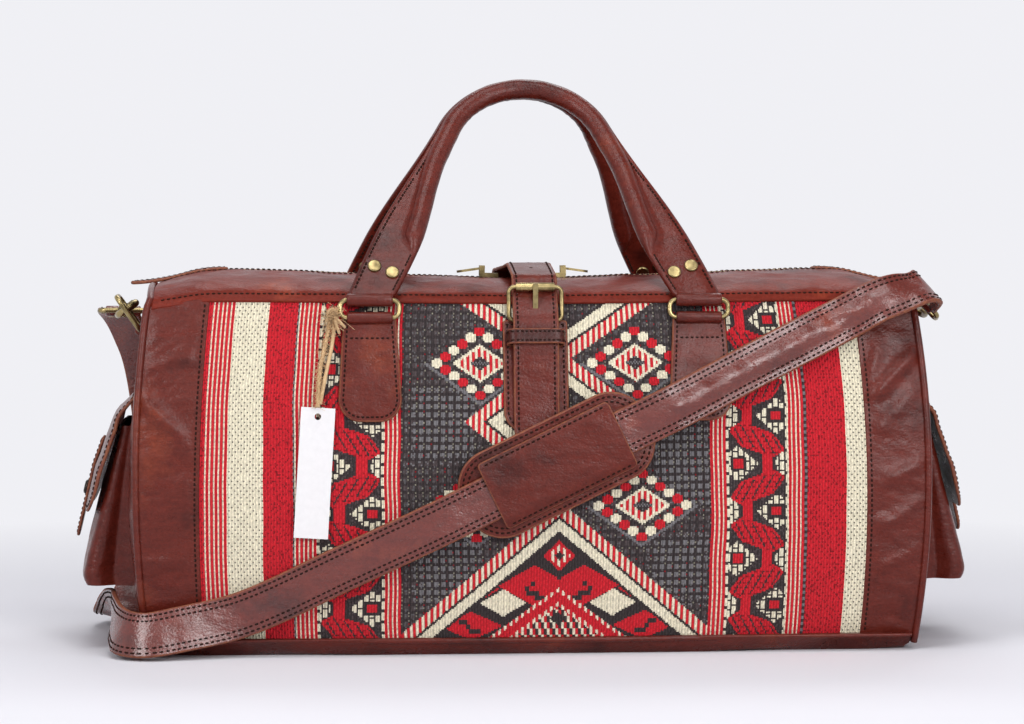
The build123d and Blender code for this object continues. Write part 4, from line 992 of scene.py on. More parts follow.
def hook_yarn(u, z, start, stop, column, row, chance):
    """Red hooks that lean one way and the other down a dark band, with cream fills between them."""
    x = ((u - start) / (stop - start) - 0.5) * HOOK_WIDTH
    if abs(x) > HOOK_WIDTH / 2 - 1.6:
        return "cream" if row % 7 < 5 else "black"
    half = HOOK_PERIOD / 2
    turn = math.floor(z / half)
    lean = 1 if turn % 2 else -1
    up = z - (turn + 0.5) * half
    rise = up - lean * 0.36 * x
    thick = 8.4 * (1 - max(0, (abs(x) - 11) / 9)) if abs(x) < 18.5 else 0
    if abs(rise) < thick:
        slant = (x - lean * rise * 0.75 + 60) % 7.5
        if slant < 1.5 and thick - abs(rise) > 2.2:
            return "black"
        return "red" if (row + 3 * (column // 2 % 2)) % 7 else "shade"
    for way in (-1, 1):
        gap = up - way * half / 2
        side = lean * way
        neck = abs(x - side * 7.5)
        if neck < 3.6 and abs(gap) < 6.5:
            return "red"
        if neck < 5.4 and abs(gap) < 8:
            return "black"
        dot = max(abs(x + side * 13.5) / 3.4, abs(gap) / 3.0)
        if dot < 1:
            return "red"
        if dot < 1.6:
            return "black"
        if abs(x + side * 14) / 15 + abs(gap) / 12.5 < 1:
            return ladder(column, row)
        if abs(x - side * 18.5) / 6.5 + abs(gap) / 11 < 1:
            return ladder(column, row)
    return "dark" if chance > 0.75 else "black"


def yarn_at(u, z, column, row, chance):
    """Yarn of one cell of the weave."""
    start = BAND_START
    for stop, kind in BANDS:
        if u < stop:
            break
        start = stop
    if kind == "lines":
        if column % 3 == 0:
            return "cream" if row % 4 else "dull"
        return "red"
    if kind == "grey":
        return "grey" if row % 4 < 2 else "black"
    if kind == "field":
        return field_yarn(u, z, column, row, chance)
    if kind == "hooks":
        return hook_yarn(u, z, start, stop, column, row, chance)
    tick = row % 2 == 0 and (column + 2 * (row // 2 % 2)) % 4 == 0
    if kind == "cream":
        return "tick" if tick and chance > 0.12 else "cream"
    return "shade" if (tick and chance > 0.25) or chance > 0.93 else "red"


def woven_panel(sizes, colours):
    """Grid of cords over the front face, with the yarn colour of each cell and, at each corner, a painted
    shade that darkens the valleys between cords and lightens their floats.
    """
    body = Shop.body
    half = body.kilim_half + WEAVE_TUCK
    columns = int(2 * half / (sizes.cord / 2))
    low, high = body.kilim_low - WEAVE_TUCK, body.kilim_high + WEAVE_TUCK_TOP
    sunk = 0.00115
    swell, drift, uneven = 0.0006, 0.0013, 0.0001
    rows = int((high - low) / sizes.pick)
    palette = {
        "red": colours.red,
        "cream": colours.cream,
        "black": colours.black,
        "grey": colours.grey,
        "dark": [c * 2.0 for c in colours.black],
        "dim": [c * 0.62 for c in colours.grey],
        "pale": [c * 0.30 for c in colours.cream],
        "dull": [c * 0.70 for c in colours.cream],
        "tick": [c * 0.22 for c in colours.cream],
        "shade": [c * 0.42 for c in colours.red],
    }
    rng = random.Random(7)
    points = []
    painted_cord_shade = []
    for j in range(rows + 1):
        share = j / rows
        mid = low + (high - low) * share
        edge = body.kilim_edge(mid) + WEAVE_TUCK
        for i in range(columns + 1):
            across = 2 * i / columns - 1
            x = across * edge
            x += drift * noise.noise(Vector((x * 9, mid * 26, 9.0))) * (1 - abs(across) ** 8)
            z = mid - share * (body.kilim_high - body.seam(x))
            cord = i // 2
            float_up = 0.74 + 0.26 * math.cos(2 * math.pi * (j / 4.0 + 0.5 * (cord % 2)))
            lift = float_up if i % 2 else 0.12 * rng.random()
            # Painted shade and light: valley corners are darkened to about 0.62 of the yarn colour and raised
            # floats lightened up to 1.12
            painted_cord_shade.append(0.62 + 0.50 * lift)
            rise = sizes.cord_rise * lift
            wave = swell * noise.noise(Vector((x * 16, z * 16, 1.5)))
            rise += wave - sunk + rng.uniform(-uneven, uneven)
            points.append((x, body.side(x, z) - rise, z))
    shades = []
    for j in range(rows):
        for i in range(columns):
            u = ((i + 0.5) / columns * 2 - 1) * half * 1000
            z = (low + (high - low) * (j + 0.5) / rows) * 1000
            tone = palette[yarn_at(u, z, i, j, rng.random())]
            jitter = rng.uniform(0.84, 1.08)
            shades.append([c * jitter for c in tone])
    return points, sheet_faces(rows, columns), shades, painted_cord_shade


def make_woven(name, side, points, faces, shades, painted_cord_shade):
    """Woven sheet of one side, with the colour of each yarn, times its painted cord shade, stored in its
    mesh.
    """
    mesh = bpy.data.meshes.new(name)
    mesh.from_pydata(points, [], faces)
    layer = mesh.color_attributes.new("yarn", "FLOAT_COLOR", "CORNER")
    data = np.ones((len(faces), 4, 4), np.float32)
    data[:, :, :3] = np.array(shades)[:, None, :] * np.array(painted_cord_shade)[np.array(faces)][:, :, None]
    layer.data.foreach_set("color", data.ravel())
    mesh.materials.append(Shop.finish["weave"])
    piece = placed(name, mesh, "bag", [side + "_kilim_panel"])


class BAG_OT_woven_panels(bpy.types.Operator):
    """Weave the front and back panels"""

    bl_idname = "bag.woven_panels"
    bl_label = "Woven panels"

    def execute(self, context):
        sizes, colours = context.scene.bag_sizes, context.scene.bag_colours
        points, faces, shades, painted_cord_shade = woven_panel(sizes, colours)
        make_woven("front_weave", "front", points, faces, shades, painted_cord_shade)
        back = [(x, -y, z) for x, y, z in points]
        make_woven("back_weave", "back", back, [f[::-1] for f in faces], shades, painted_cord_shade)
        return {"FINISHED"}


# Folds of each corner panel: two ends across and up, half width and height
CORNER_FOLDS = {
    "front_right": (
        ((0.224, 0.168), (0.270, 0.212), 0.0044, 0.0042),
        ((0.222, 0.176), (0.236, 0.206), 0.0036, 0.0028),
        ((0.228, 0.148), (0.262, 0.178), 0.0050, 0.0016),
        ((0.228, 0.112), (0.272, 0.132), 0.0045, 0.0017),
        ((0.226, 0.082), (0.268, 0.104), 0.0042, 0.0016),
        ((0.228, 0.054), (0.266, 0.070), 0.0042, 0.0013),
    ),
    "front_left": (
        ((0.240, 0.150), (0.279, 0.186), 0.0052, 0.0042),
        ((0.230, 0.203), (0.258, 0.197), 0.0036, 0.0018),
        ((0.232, 0.070), (0.270, 0.060), 0.0060, 0.0012),
    ),
    "back_right": (
        ((0.228, 0.190), (0.272, 0.168), 0.0055, 0.0026),
        ((0.232, 0.100), (0.272, 0.122), 0.0050, 0.0014),
    ),
    "back_left": (
        ((0.226, 0.172), (0.270, 0.204), 0.0055, 0.0028),
        ((0.230, 0.062), (0.266, 0.084), 0.0050, 0.0014),
    ),
}


def fold_rise(x, z, folds):
    """Height of pinched folds that fade towards their ends."""
    total = 0
    spot = Vector((x, z))
    for start, stop, wide, tall in folds:
        start, along = Vector(start), Vector(stop) - Vector(start)
        t = min(1, max(0, (spot - start).dot(along) / along.length_squared))
        far = (spot - start - along * t).length / wide
        total += tall * math.exp(-far * far) * (0.25 + 0.75 * math.sin(math.pi * (0.1 + 0.8 * t)))
    return total


def corner_panel(sizes, folds, seed):
    """Leather panel between the weave and the right corner of the front."""
    body = Shop.body
    proud = 0.0006
    piping_gap = 0.0012
    inner_fade, outer_fade = 0.012, 0.010
    count, end_count = 60, 12
    low, high = body.kilim_low - 0.0005, body.kilim_high
    head = high + 0.001

    def inner_edge(z):
        return body.kilim_edge(z) - sizes.seam_lip

    inner, outer = [], []
    for k in range(count + 1):
        z = low + (head - low) * k / count
        for line, x in ((inner, inner_edge(z)), (outer, body.end(z) - piping_gap)):
            line.append(Vector((x, z - (high - body.seam(x)) * k / count)))
    top = [inner[-1].lerp(outer[-1], k / end_count) for k in range(1, end_count)]
    bottom = [outer[0].lerp(inner[0], k / end_count) for k in range(1, end_count)]
    outline = inner + top + outer[::-1] + bottom

    def place(x, z):
        spot, out = body.front(x, z)
        return spot - out * (sizes.hide - proud), out

    def relief(x, z):
        edge = smoothed((x - inner_edge(z)) / inner_fade) * smoothed((body.end(z) - x) / outer_fade)
        across = crease(x + z * 0.55, z, (0.5, 1.6), 26, seed)
        fine = crease(x - z * 0.7, z + x * 0.5, (0.6, 2.4), 60, seed + 4.7)
        return edge * (sizes.crease * (across * 0.9 + fine * 0.35 + 0.5) + fold_rise(x, z, folds))

    piece = Piece()
    piece.leaf(outline, place, sizes.hide, 0.0024, relief, roll=0.0009, edge=HIDE)
    row = [Vector((inner_edge(p.y) + sizes.stitch_in, p.y)) for p in inner[1:-1]]
    piece.stitches(row, sizes, 0.0034)
    return piece


def top_facing(sizes):
    """Front leather strip from the weave up to the zip."""
    body = Shop.body
    proud = 0.0012
    lip = 0.0022
    taper = 0.003
    turn_share = 0.08
    low_fade, high_fade = 0.014, 0.01
    reach = body.end(body.kilim_high) - 0.0025
    deep = (body.facing(0, 1)[0] - body.facing(0, 0)[0]).length

    def place(x, s):
        if s < 0:
            spot, out = body.front(x, body.seam(x) + s)
        else:
            spot, out = body.facing(x, s / deep)
            seam_out = body.front(x, body.seam(x))[1]
            out = seam_out.lerp(out, min(1, s / deep / turn_share)).normalized()
        return spot - out * (sizes.hide - proud), out

    def relief(x, s):
        edge = min(1, max(0, s) / low_fade) * min(1, max(0, deep - s) / high_fade)
        wave = crease(x, s, (1.1, 0.9), 24, 5.2)
        return edge * sizes.crease * (1.1 * wave + 0.35)

    corners = [(-reach, -lip), (reach, -lip), (reach - taper, deep), (taper - reach, deep)]
    piece = Piece()
    piece.leaf(arc_outline(corners, SQUARE, 0.004), place, sizes.hide, 0.004, relief, roll=0.001, edge=HIDE)
    span = reach - 0.006
    for s in (0.003, deep - 0.0045):
        piece.row((-span, s), (span, s), 0.01, sizes)
    return piece


def end_panel(sizes):
    """Leather panel of the right end."""
    body = Shop.body
    proud = 0.0003
    foot = 0.004
    edge_gap = 0.001
    half_count, top_count = 49, 24
    # Fullness beside the pocket: its depth and height on the panel, and its spread
    full, full_y, full_z, full_wide, full_tall = 0.0045, 0.087, 0.1, 0.012, 0.085
    # The panel lies calm behind the pocket
    calm_half, calm_top, calm_share = 0.072, 0.22, 0.25
    right = []
    for k in range(half_count + 1):
        z = foot + (body.seam(0.25) - foot) * k / half_count
        right.append(Vector((-body.side(body.end(z), z) - edge_gap, z)))
    for k in range(1, top_count):
        spot = body.facing(body.end(0.24) - 0.004, k / top_count)[0]
        right.append(Vector((-spot.y, spot.z - edge_gap)))
    outline = right + [Vector((-p.x, p.y)) for p in right[::-1]]
    outline = even_path(outline + [outline[0]], 0.004)[:-1]

    def place(y, z):
        spot, out = body.right_end(y, z)
        return spot - out * (sizes.hide - proud), out

    def relief(y, z):
        level = min(z, 0.23)
        wide = max(0.03, -body.side(body.end(level), level))
        edge = min(1, max(0, wide - abs(y)) / 0.012) * min(1, max(0, z - foot) / 0.02)
        beside = math.exp(-(((abs(y) - full_y) / full_wide) ** 2))
        beside *= math.exp(-(((z - full_z) / full_tall) ** 2))
        folds = crease(y, z, (0.6, 1.6), 22, 2.7)
        calm = calm_share if abs(y) < calm_half and z < calm_top else 1
        return edge * (full * beside + sizes.crease * (folds + 0.2) * calm)

    piece = Piece()
    piece.leaf(outline, place, sizes.hide, 0.004, relief, roll=0.0009, edge=HIDE)
    return piece


def base_panel(sizes):
    """Leather base with its edges turned up to the seam."""
    corner = 0.006
    tree = nodes_tree(["base_panel"])
    low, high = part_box("base_panel")

    def place(x, y):
        hit = tree.ray_cast(Vector((x, y, -1)), UP)[0]
        z = hit.z if hit else high.z
        return Vector((x, y, min(z, high.z) + sizes.hide * 0.9)), Vector((0, 0, -1))

    piece = Piece()
    outline = rounded((low.x, low.y), (high.x, high.y), [corner] * 4, corner)
    piece.leaf(outline, place, sizes.hide, 0.006, roll=0.0008, edge=HIDE)
    return piece


class BAG_OT_leather_panels(bpy.types.Operator):
    """Cut the leather panels of the body and sew them to the weave"""

    bl_idname = "bag.leather_panels"
    bl_label = "Leather panels"

    def execute(self, context):
        sizes = context.scene.bag_sizes
        for index, (corner, folds) in enumerate(CORNER_FOLDS.items()):
            node = corner + "_corner_panel"
            x = 1 if "right" in corner else -1
            y = 1 if "front" in corner else -1
            corner_panel(sizes, folds, 3.3 + 5 * index).flipped(x, y).sew(node + "_leather", node)
        facing = top_facing(sizes)
        for side, y in SIDES:
            # The facings take the lightened top leather, painted light on the strip that faces up
            facing.flipped(1, y).sew(side + "_facing_leather", side + "_top_facing", hide="top")
        panel = end_panel(sizes)
        for end, x in ENDS:
            panel.flipped(x).sew(end + "_end_leather", end + "_end_panel")
        base_panel(sizes).sew("base_leather", "base_panel")
        return {"FINISHED"}


class BAG_OT_piping(bpy.types.Operator):
    """Run the piping round both ends and the welts along the base"""

    bl_idname = "bag.piping"
    bl_label = "Piping and welts"

    def execute(self, context):
        sizes = context.scene.bag_sizes
        self.piping(sizes)
        self.welts(sizes)
        return {"FINISHED"}

    def piping(self, sizes):
        """Cord in each corner seam, from the base up and over towards the zip."""
        body = Shop.body
        side_count, top_count = 55, 40
        path = []
        for k in range(side_count + 1):
            z = 0.005 + (body.seam(0.25) - 0.006) * k / side_count
            spot, out = body.front(body.end(z) - 0.0015, z)
            path.append(spot + out * 0.0008 + ALONG * 0.0012)
        for k in range(2, 34):
            spot, out = body.facing(body.end(0.236) - 0.0035, k / top_count)
            path.append(spot + out * 0.0012 + ALONG * 0.0008)
        smooth = [path[0]]
        for a, b, c in zip(path, path[1:], path[2:]):
            smooth.append((a + b * 2 + c) / 4)
        smooth.append(path[-1])
        cord = Piece()
        cord.tube(smooth, sizes.piping, 12)
        whole = Piece()
        for _, x in ENDS:
            for _, y in SIDES:
                whole.add(cord.flipped(x, y))
        whole.sew("end_piping_leather", "end_piping")

    def welts(self, sizes):
        """Cords in the two long seams of the base."""
        body = Shop.body
        height = 0.0102
        half_count = 60
        reach = body.end(0.01) - 0.003
        line = []
        for k in range(2 * half_count + 1):
            spot, out = body.front(reach * (k / half_count - 1), height)
            line.append(spot + out * 0.0006)
        welt = Piece()
        welt.tube(line, sizes.welt, 12)
        welt.add(welt.flipped(1, -1))
        welt.sew("base_welt_leather", "base_welts")


class BAG_OT_zip(bpy.types.Operator):
    """Lay the zip tape, set its teeth and sew on its end tabs"""

    bl_idname = "bag.zip"
    bl_label = "Zip"

    def execute(self, context):
        self.tape()
        self.chain()
        self.end_tabs(context.scene.bag_sizes)
        return {"FINISHED"}

    def tape(self):
        """Cloth of the zip, a little below the ridge."""
        half = 0.0115
        drop = 0.0024
        thick = 0.0015

        def place(x, y):
            return Vector((x, y, Shop.body.ridge(x) - drop)), UP

        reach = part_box("zip_tape")[1].x
        cloth = Piece()
        cloth.leaf(rounded((-reach, -half), (reach, half), SQUARE, 0.004), place, thick, 0.003, edge=HIDE)
        cloth.make("zip_cloth_tape", [Shop.finish["tape"]], "bag", "zip_tape", ["zip_tape"])

    def chain(self):
        """Teeth set by turns to either side of the ridge."""
        pitch = 0.002
        half, wide, tall = 0.0021, 0.0017, 0.0016
        stagger = 0.0006
        rise = 0.0004
        count = int((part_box("zip_teeth")[1].x - pitch) / pitch)
        teeth = Piece()
        for sign in (-1, 1):
            for k in range(count):
                x = sign * (pitch + k * pitch)
                z = Shop.body.ridge(x) + rise
                shift = stagger if k % 2 else -stagger
                start, stop = Vector((x, shift - half, z)), Vector((x, shift + half, z))
                teeth.bead(start, stop, UP, wide, tall, finish=HIDE)
        teeth.make("zip_chain", [Shop.finish["brass"]], "bag", "brass", ["zip_teeth"])

    def end_tabs(self, sizes):
        """Leather tabs over the ends of the zip, which droop past the ends of the ridge."""
        length, half = 0.068, 0.014
        turn = 0.240
        lift, fall, curl = 0.0003, 0.26, 3.2
        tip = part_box("zip_end_tabs")[1].x

        def height(x):
            past = max(0, x - turn)
            return Shop.body.ridge(min(x, turn)) + lift - fall * past + curl * past * past

        def place(x, y):
            slope = (height(x + SLOPE_STEP) - height(x)) / SLOPE_STEP
            return Vector((x, y, height(x))), Vector((-slope, 0, 1)).normalized()

        def relief(x, y):
            return 0.0008 * crease(x, y, (1, 1), 40, 1.1)

        outline = rounded((tip - length, -half), (tip, half), (0.003, 0.010, 0.010, 0.003), 0.0025)
        tab = Piece()
        tab.leaf(outline, place, sizes.hide, 0.003, relief)
        tab.relief = flat_relief
        tab.hem(outline, 0.0028, sizes)
        tab.add(tab.flipped(-1))
        tab.sew("zip_end_leather", "zip_end_tabs")


class BAG_OT_ring_tabs(bpy.types.Operator):
    """Sew the handle ring tabs on both long sides"""

    bl_idname = "bag.ring_tabs"
    bl_label = "Handle ring tabs"

    def execute(self, context):
        sizes = context.scene.bag_sizes
        low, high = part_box("tab_front_right")
        bar = Vector(joint_of("front_ring_swing")["pos_m"])
        middle = (low.x + high.x) / 2
        top_half, foot_half = 0.018, (high.x - low.x) / 2
        top = bar.z - 0.0005
        pitch = 0.0032
        margin, row_drop = 0.004, 0.014

        def relief(x, z):
            return 0.0009 * (crease(x, z, (1, 1), 30, 6.6) + 0.3) + 0.0005

        corners = [
            (middle - foot_half, low.z),
            (middle + foot_half, low.z),
            (middle + top_half, top),
            (middle - top_half, top),
        ]
        outline = arc_outline(corners, (0.015, 0.015, 0.002, 0.002), 0.0025)
        tab = Piece()
        tab.leaf(outline, on_front, sizes.hide, 0.003, relief)
        tab.hem(outline, sizes.stitch_in, sizes, pitch)
        start = (middle - top_half + margin, top - row_drop)
        stop = (middle + top_half - margin, top - row_drop)
        tab.row(start, stop, 0.005, sizes, pitch)
        tab.roll(Vector((middle, bar.y, bar.z)), ALONG, 0.0040, 0.0155)
        for side, y in SIDES:
            for end, x in ENDS:
                node = "tab_" + side + "_" + end
                tab.flipped(x, y).sew(node + "_leather", node)
        return {"FINISHED"}


def handle_piece(sizes):
    """Front handle: a rolled grip that opens into flat riveted feet."""
    pivot = joint_of("front_handle_swing")["pos_m"]
    root = Vector((0, pivot[1], pivot[2]))
    spread, grip = 0.112, 0.007
    foot_half, foot_flat = 0.016, 0.046
    leg = math.radians(23)
    arc_count = 60
    apex = Vector((0, -grip - 0.0002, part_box("front_handle")[1].z - grip))
    up = (apex - root).normalized()
    out = Vector((0, -up.z, up.y))
    rise = (apex - root).length
    bow = (spread * math.cos(leg) - rise * math.sin(leg)) / (1 - math.sin(leg))
    middle = rise - bow
    turn = Vector((-bow * math.cos(leg), middle + bow * math.sin(leg)))
    foot = Vector((-spread, 0.0))
    path = even_path([foot, turn], 0.003)
    arc = []
    first = math.atan2(turn.y - middle, turn.x)
    for k in range(1, arc_count):
        angle = first + (math.pi - 2 * (math.pi - first)) * -k / arc_count
        arc.append(Vector((bow * math.cos(angle), middle + bow * math.sin(angle))))
    right = [Vector((-p.x, p.y)) for p in path[::-1]]
    path = path + arc + right
    lengths = path_lengths(path)
    total = lengths[-1]

    def world(p, lift):
        return root + ALONG * p.x + up * p.y + out * lift

    def section(end, s):
        """Way round the grip and its stitched flange, as places across and out."""
        shift = smoothed((end - 0.050) / 0.080)
        spread_out = smoothed((end - foot_flat) / 0.115)
        swell = smoothed((end - 0.044) / 0.016)
        radius = 0.0027 * (1 - swell) + grip * swell
        flat = 0.0026 - 0.0006 * swell
        inner = -(foot_half * (1 - shift) + grip * shift)
        outer = foot_half * (1 - spread_out) + grip * spread_out
        loop = max(0, 1 - end / 0.006)
        if loop > 0:
            flat = max(flat, 0.0039 * math.sqrt(loop))
            radius = max(radius, flat)
            inner += 0.002 * loop
            outer -= 0.002 * loop
        middle_a = inner + radius
        open_angle = math.asin(min(0.98, flat / radius))
        start = middle_a + radius * math.cos(open_angle)
        outer = max(outer, start + 0.0004)
        ring = []
        for k in range(25):
            angle = open_angle + (2 * math.pi - 2 * open_angle) * k / 24
            fold = max(0, -math.cos(angle)) * swell * smoothed((end - 0.12) / 0.05)
            wrinkle = 0.00045 * noise.noise(Vector((s * 420, 0.4 * math.sin(angle), 3.0))) * fold
            wrinkle += 0.00022 * noise.noise(Vector((s * 110, angle * 1.4, 7.0))) * swell
            size = radius + wrinkle
            ring.append((middle_a + size * math.cos(angle), size * math.sin(angle)))
        flange = ((0.3, -1), (0.65, -1), (0.92, -0.9), (1.0, -0.5))
        for t, lift in flange + tuple((t, -lift) for t, lift in flange[::-1]):
            ring.append((start + (outer - start) * t, flat * lift))
        return ring, inner, outer, flat

    points = []
    frames = []
    for i, p in enumerate(path):
        s = lengths[i]
        end = min(s, total - s)
        way = (path[min(i + 1, len(path) - 1)] - path[max(0, i - 1)]).normalized()
        across = Vector((-way.y, way.x))
        share = min(1, end / foot_flat)
        level = Vector((-1, 0)) if p.x < 0 else Vector((1, 0))
        across = (level * (1 - share) + across * share).normalized()
        ring, inner, outer, flat = section(end, s)
        frames.append((p, way, across, inner, outer, flat))
        points += [world(p + across * a, b) for a, b in ring]
    piece = Piece()
    piece.put(points, [f[::-1] for f in tube_faces(len(path), len(ring))], HIDE)
    add_foot_sewing(piece, sizes, lengths, frames, world, out)
    for side in (-spread, spread):
        piece.roll(world(Vector((side, 0)), 0), ALONG, 0.0045, 0.0156)
    return piece


def add_foot_sewing(piece, sizes, lengths, frames, world, out):
    """Edge stitches of the feet, and those of the flange that runs up beside the grip."""
    margin, pitch = 0.008, 0.0034
    outer_end, inner_end = 0.150, 0.044
    total = lengths[-1]
    s = margin
    while s < total - margin:
        end = min(s, total - s)
        index = min(range(len(lengths)), key=lambda i: abs(lengths[i] - s))
        p, way, across, inner, outer, flat = frames[index]
        edges = []
        if end < outer_end:
            edges.append(outer - sizes.stitch_in)
        if end < inner_end:
            edges.append(inner + sizes.stitch_in)
        for edge in edges:
            for face in (-1, 1):
                spot = p + across * edge
                a, b = spot - way * sizes.stitch / 2, spot + way * sizes.stitch / 2
                piece.stitch(world(a, face * flat), world(b, face * flat), out * face, sizes)
        s += pitch


class BAG_OT_handles(bpy.types.Operator):
    """Roll and stitch the two carrying handles"""

    bl_idname = "bag.handles"
    bl_label = "Handles"

    def execute(self, context):
        piece = handle_piece(context.scene.bag_sizes)
        for side, y in SIDES:
            node = side + "_handle"
            piece.flipped(1, y).sew(node + "_leather", node, body=node)
        return {"FINISHED"}


# Inner line of the closing strap from the back over the top and down under the buckle, as depth and height
CLOSING_ROUTE = (
    (0.1181, 0.1640),
    (0.1107, 0.2040),
    (0.0982, 0.2470),
    (0.0800, 0.2570),
    (0.0000, 0.2600),
    (-0.0520, 0.2630),
    (-0.0985, 0.2556),
    (-0.1016, 0.2451),
    (-0.1116, 0.2282),
    (-0.1136, 0.2215),
    (-0.1168, 0.1943),
    (-0.1177, 0.1820),
    (-0.1229, 0.1420),
)


class BAG_OT_closing_strap(bpy.types.Operator):
    """Thread the closing strap through its buckle"""

    bl_idname = "bag.closing_strap"
    bl_label = "Closing strap"

    def execute(self, context):
        sizes = context.scene.bag_sizes
        self.strap(sizes)
        self.patch(sizes)
        self.keeper(sizes)
        return {"FINISHED"}

    def strap(self, sizes):
        """Strap over the top, with its buckle holes."""
        path = bent_path(CLOSING_ROUTE, 0.010, 0.0025)
        lengths = path_lengths(path)
        total = lengths[-1]
        thick = 0.0024
        half = sizes.strap / 2
        hole_shares = (0.585, 0.645)
        hole_half, hole_wide, hole_tall = 0.0016, 0.0032, 0.0006

        def place(s, x):
            spot, way = on_path(path, lengths, s)
            return Vector((x, spot.x, spot.y)), Vector((0, way.y, -way.x))

        def relief(s, x):
            fade = max(0, 1 - (abs(x) / half) ** 6)
            return 0.0005 * (crease(s, x, (1.6, 0.7), 40, 9.4) + 0.2) * fade

        strap = Piece()
        outline = rounded((0, -half), (total, half), (0.010, 0.012, 0.012, 0.010), 0.003)
        strap.leaf(outline, place, thick, 0.003, relief)
        for x in (-half + sizes.stitch_in, half - sizes.stitch_in):
            strap.row((0.006, x), (total - 0.004, x), 0.01, sizes, 0.0034)
        for share in hole_shares:
            spot, out = place(total * share, 0)
            ahead = place(total * share + hole_half, 0)[0]
            strap.bead(spot * 2 - ahead + out * thick, ahead + out * thick, out, hole_wide, hole_tall)
        strap.sew("closing_strap_leather", "closing_strap")

    def patch(self, sizes):
        """Patch under the buckle, with its chape round the buckle's bar."""
        low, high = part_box("buckle_patch")
        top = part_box("buckle_frame")[0].z + 0.001
        bar = Vector((0, -0.10806, 0.22718))
        outline = rounded((low.x, low.z), (high.x, top), (0.014, 0.014, 0.002, 0.002), 0.0025)
        patch = Piece()
        patch.leaf(outline, on_front, sizes.hide, 0.003)
        patch.hem(outline, 0.003, sizes, 0.0034)
        for sign in (-1, 1):
            patch.roll(bar + ALONG * (sign * 0.0083), ALONG, 0.0034, 0.0049)
        patch.sew("buckle_patch_leather", "buckle_patch")

    def keeper(self, sizes):
        """Leather loop round the strap below the buckle."""
        low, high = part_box("strap_keeper")
        tall, thick, margin = 0.0105, 0.0018, 0.0022
        slope_half = 0.01
        middle = (low + high) / 2
        head = Shop.body.front(0, middle.z + slope_half)[0]
        foot = Shop.body.front(0, middle.z - slope_half)[0]
        lean = (head - foot).normalized()
        base, out = Shop.body.front(0, middle.z)
        base = base + out * 0.0026
        half = (high.x - low.x) / 2 - 0.001
        depth = (Vector((0, low.y, middle.z)) - base).dot(out) - 0.0035
        ring = rounded((-half, 0), (half, depth), (0.002, 0.002, 0.004, 0.004), 0.0016)
        ring.append(ring[0])
        lengths = path_lengths(ring)
        around = lengths[-1]

        def place(s, h):
            spot, way = on_path(ring, lengths, s)
            spot3 = base + ALONG * spot.x + out * spot.y + lean * h
            return spot3, (ALONG * way.y - out * way.x).normalized()

        band = Piece()
        band.leaf(rounded((0, -tall / 2), (around, tall / 2), SQUARE, 0.0016), place, thick, 0.0016)
        for h in (-tall / 2 + margin, tall / 2 - margin):
            band.row((0, h), (around, h), 0.002, sizes, 0.003)
        band.sew("strap_keeper_leather", "strap_keeper", hide="keeper")


class BAG_OT_end_tabs(bpy.types.Operator):
    """Sew the ring tabs on the bag ends"""

    bl_idname = "bag.end_tabs"
    bl_label = "End ring tabs"

    def execute(self, context):
        sizes = context.scene.bag_sizes
        low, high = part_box("end_tab_right")
        bar_in = 0.0042
        bar = Vector((high.x - bar_in, 0, high.z - bar_in))

        def place(y, z):
            spot, out = Shop.body.right_end(y, z)
            return spot + out * 0.0002, out

        outline = rounded((low.y, low.z), (high.y, high.z - bar_in), (0.008, 0.008, 0.002, 0.002), 0.0025)
        tab = Piece()
        tab.leaf(outline, place, sizes.hide, 0.003)
        tab.hem(outline, 0.003, sizes, 0.0034)
        tab.roll(bar, DEEP, 0.0041, 0.012)
        for end, x in ENDS:
            node = "end_tab_" + end
            tab.flipped(x).sew(node + "_leather", node)
        return {"FINISHED"}


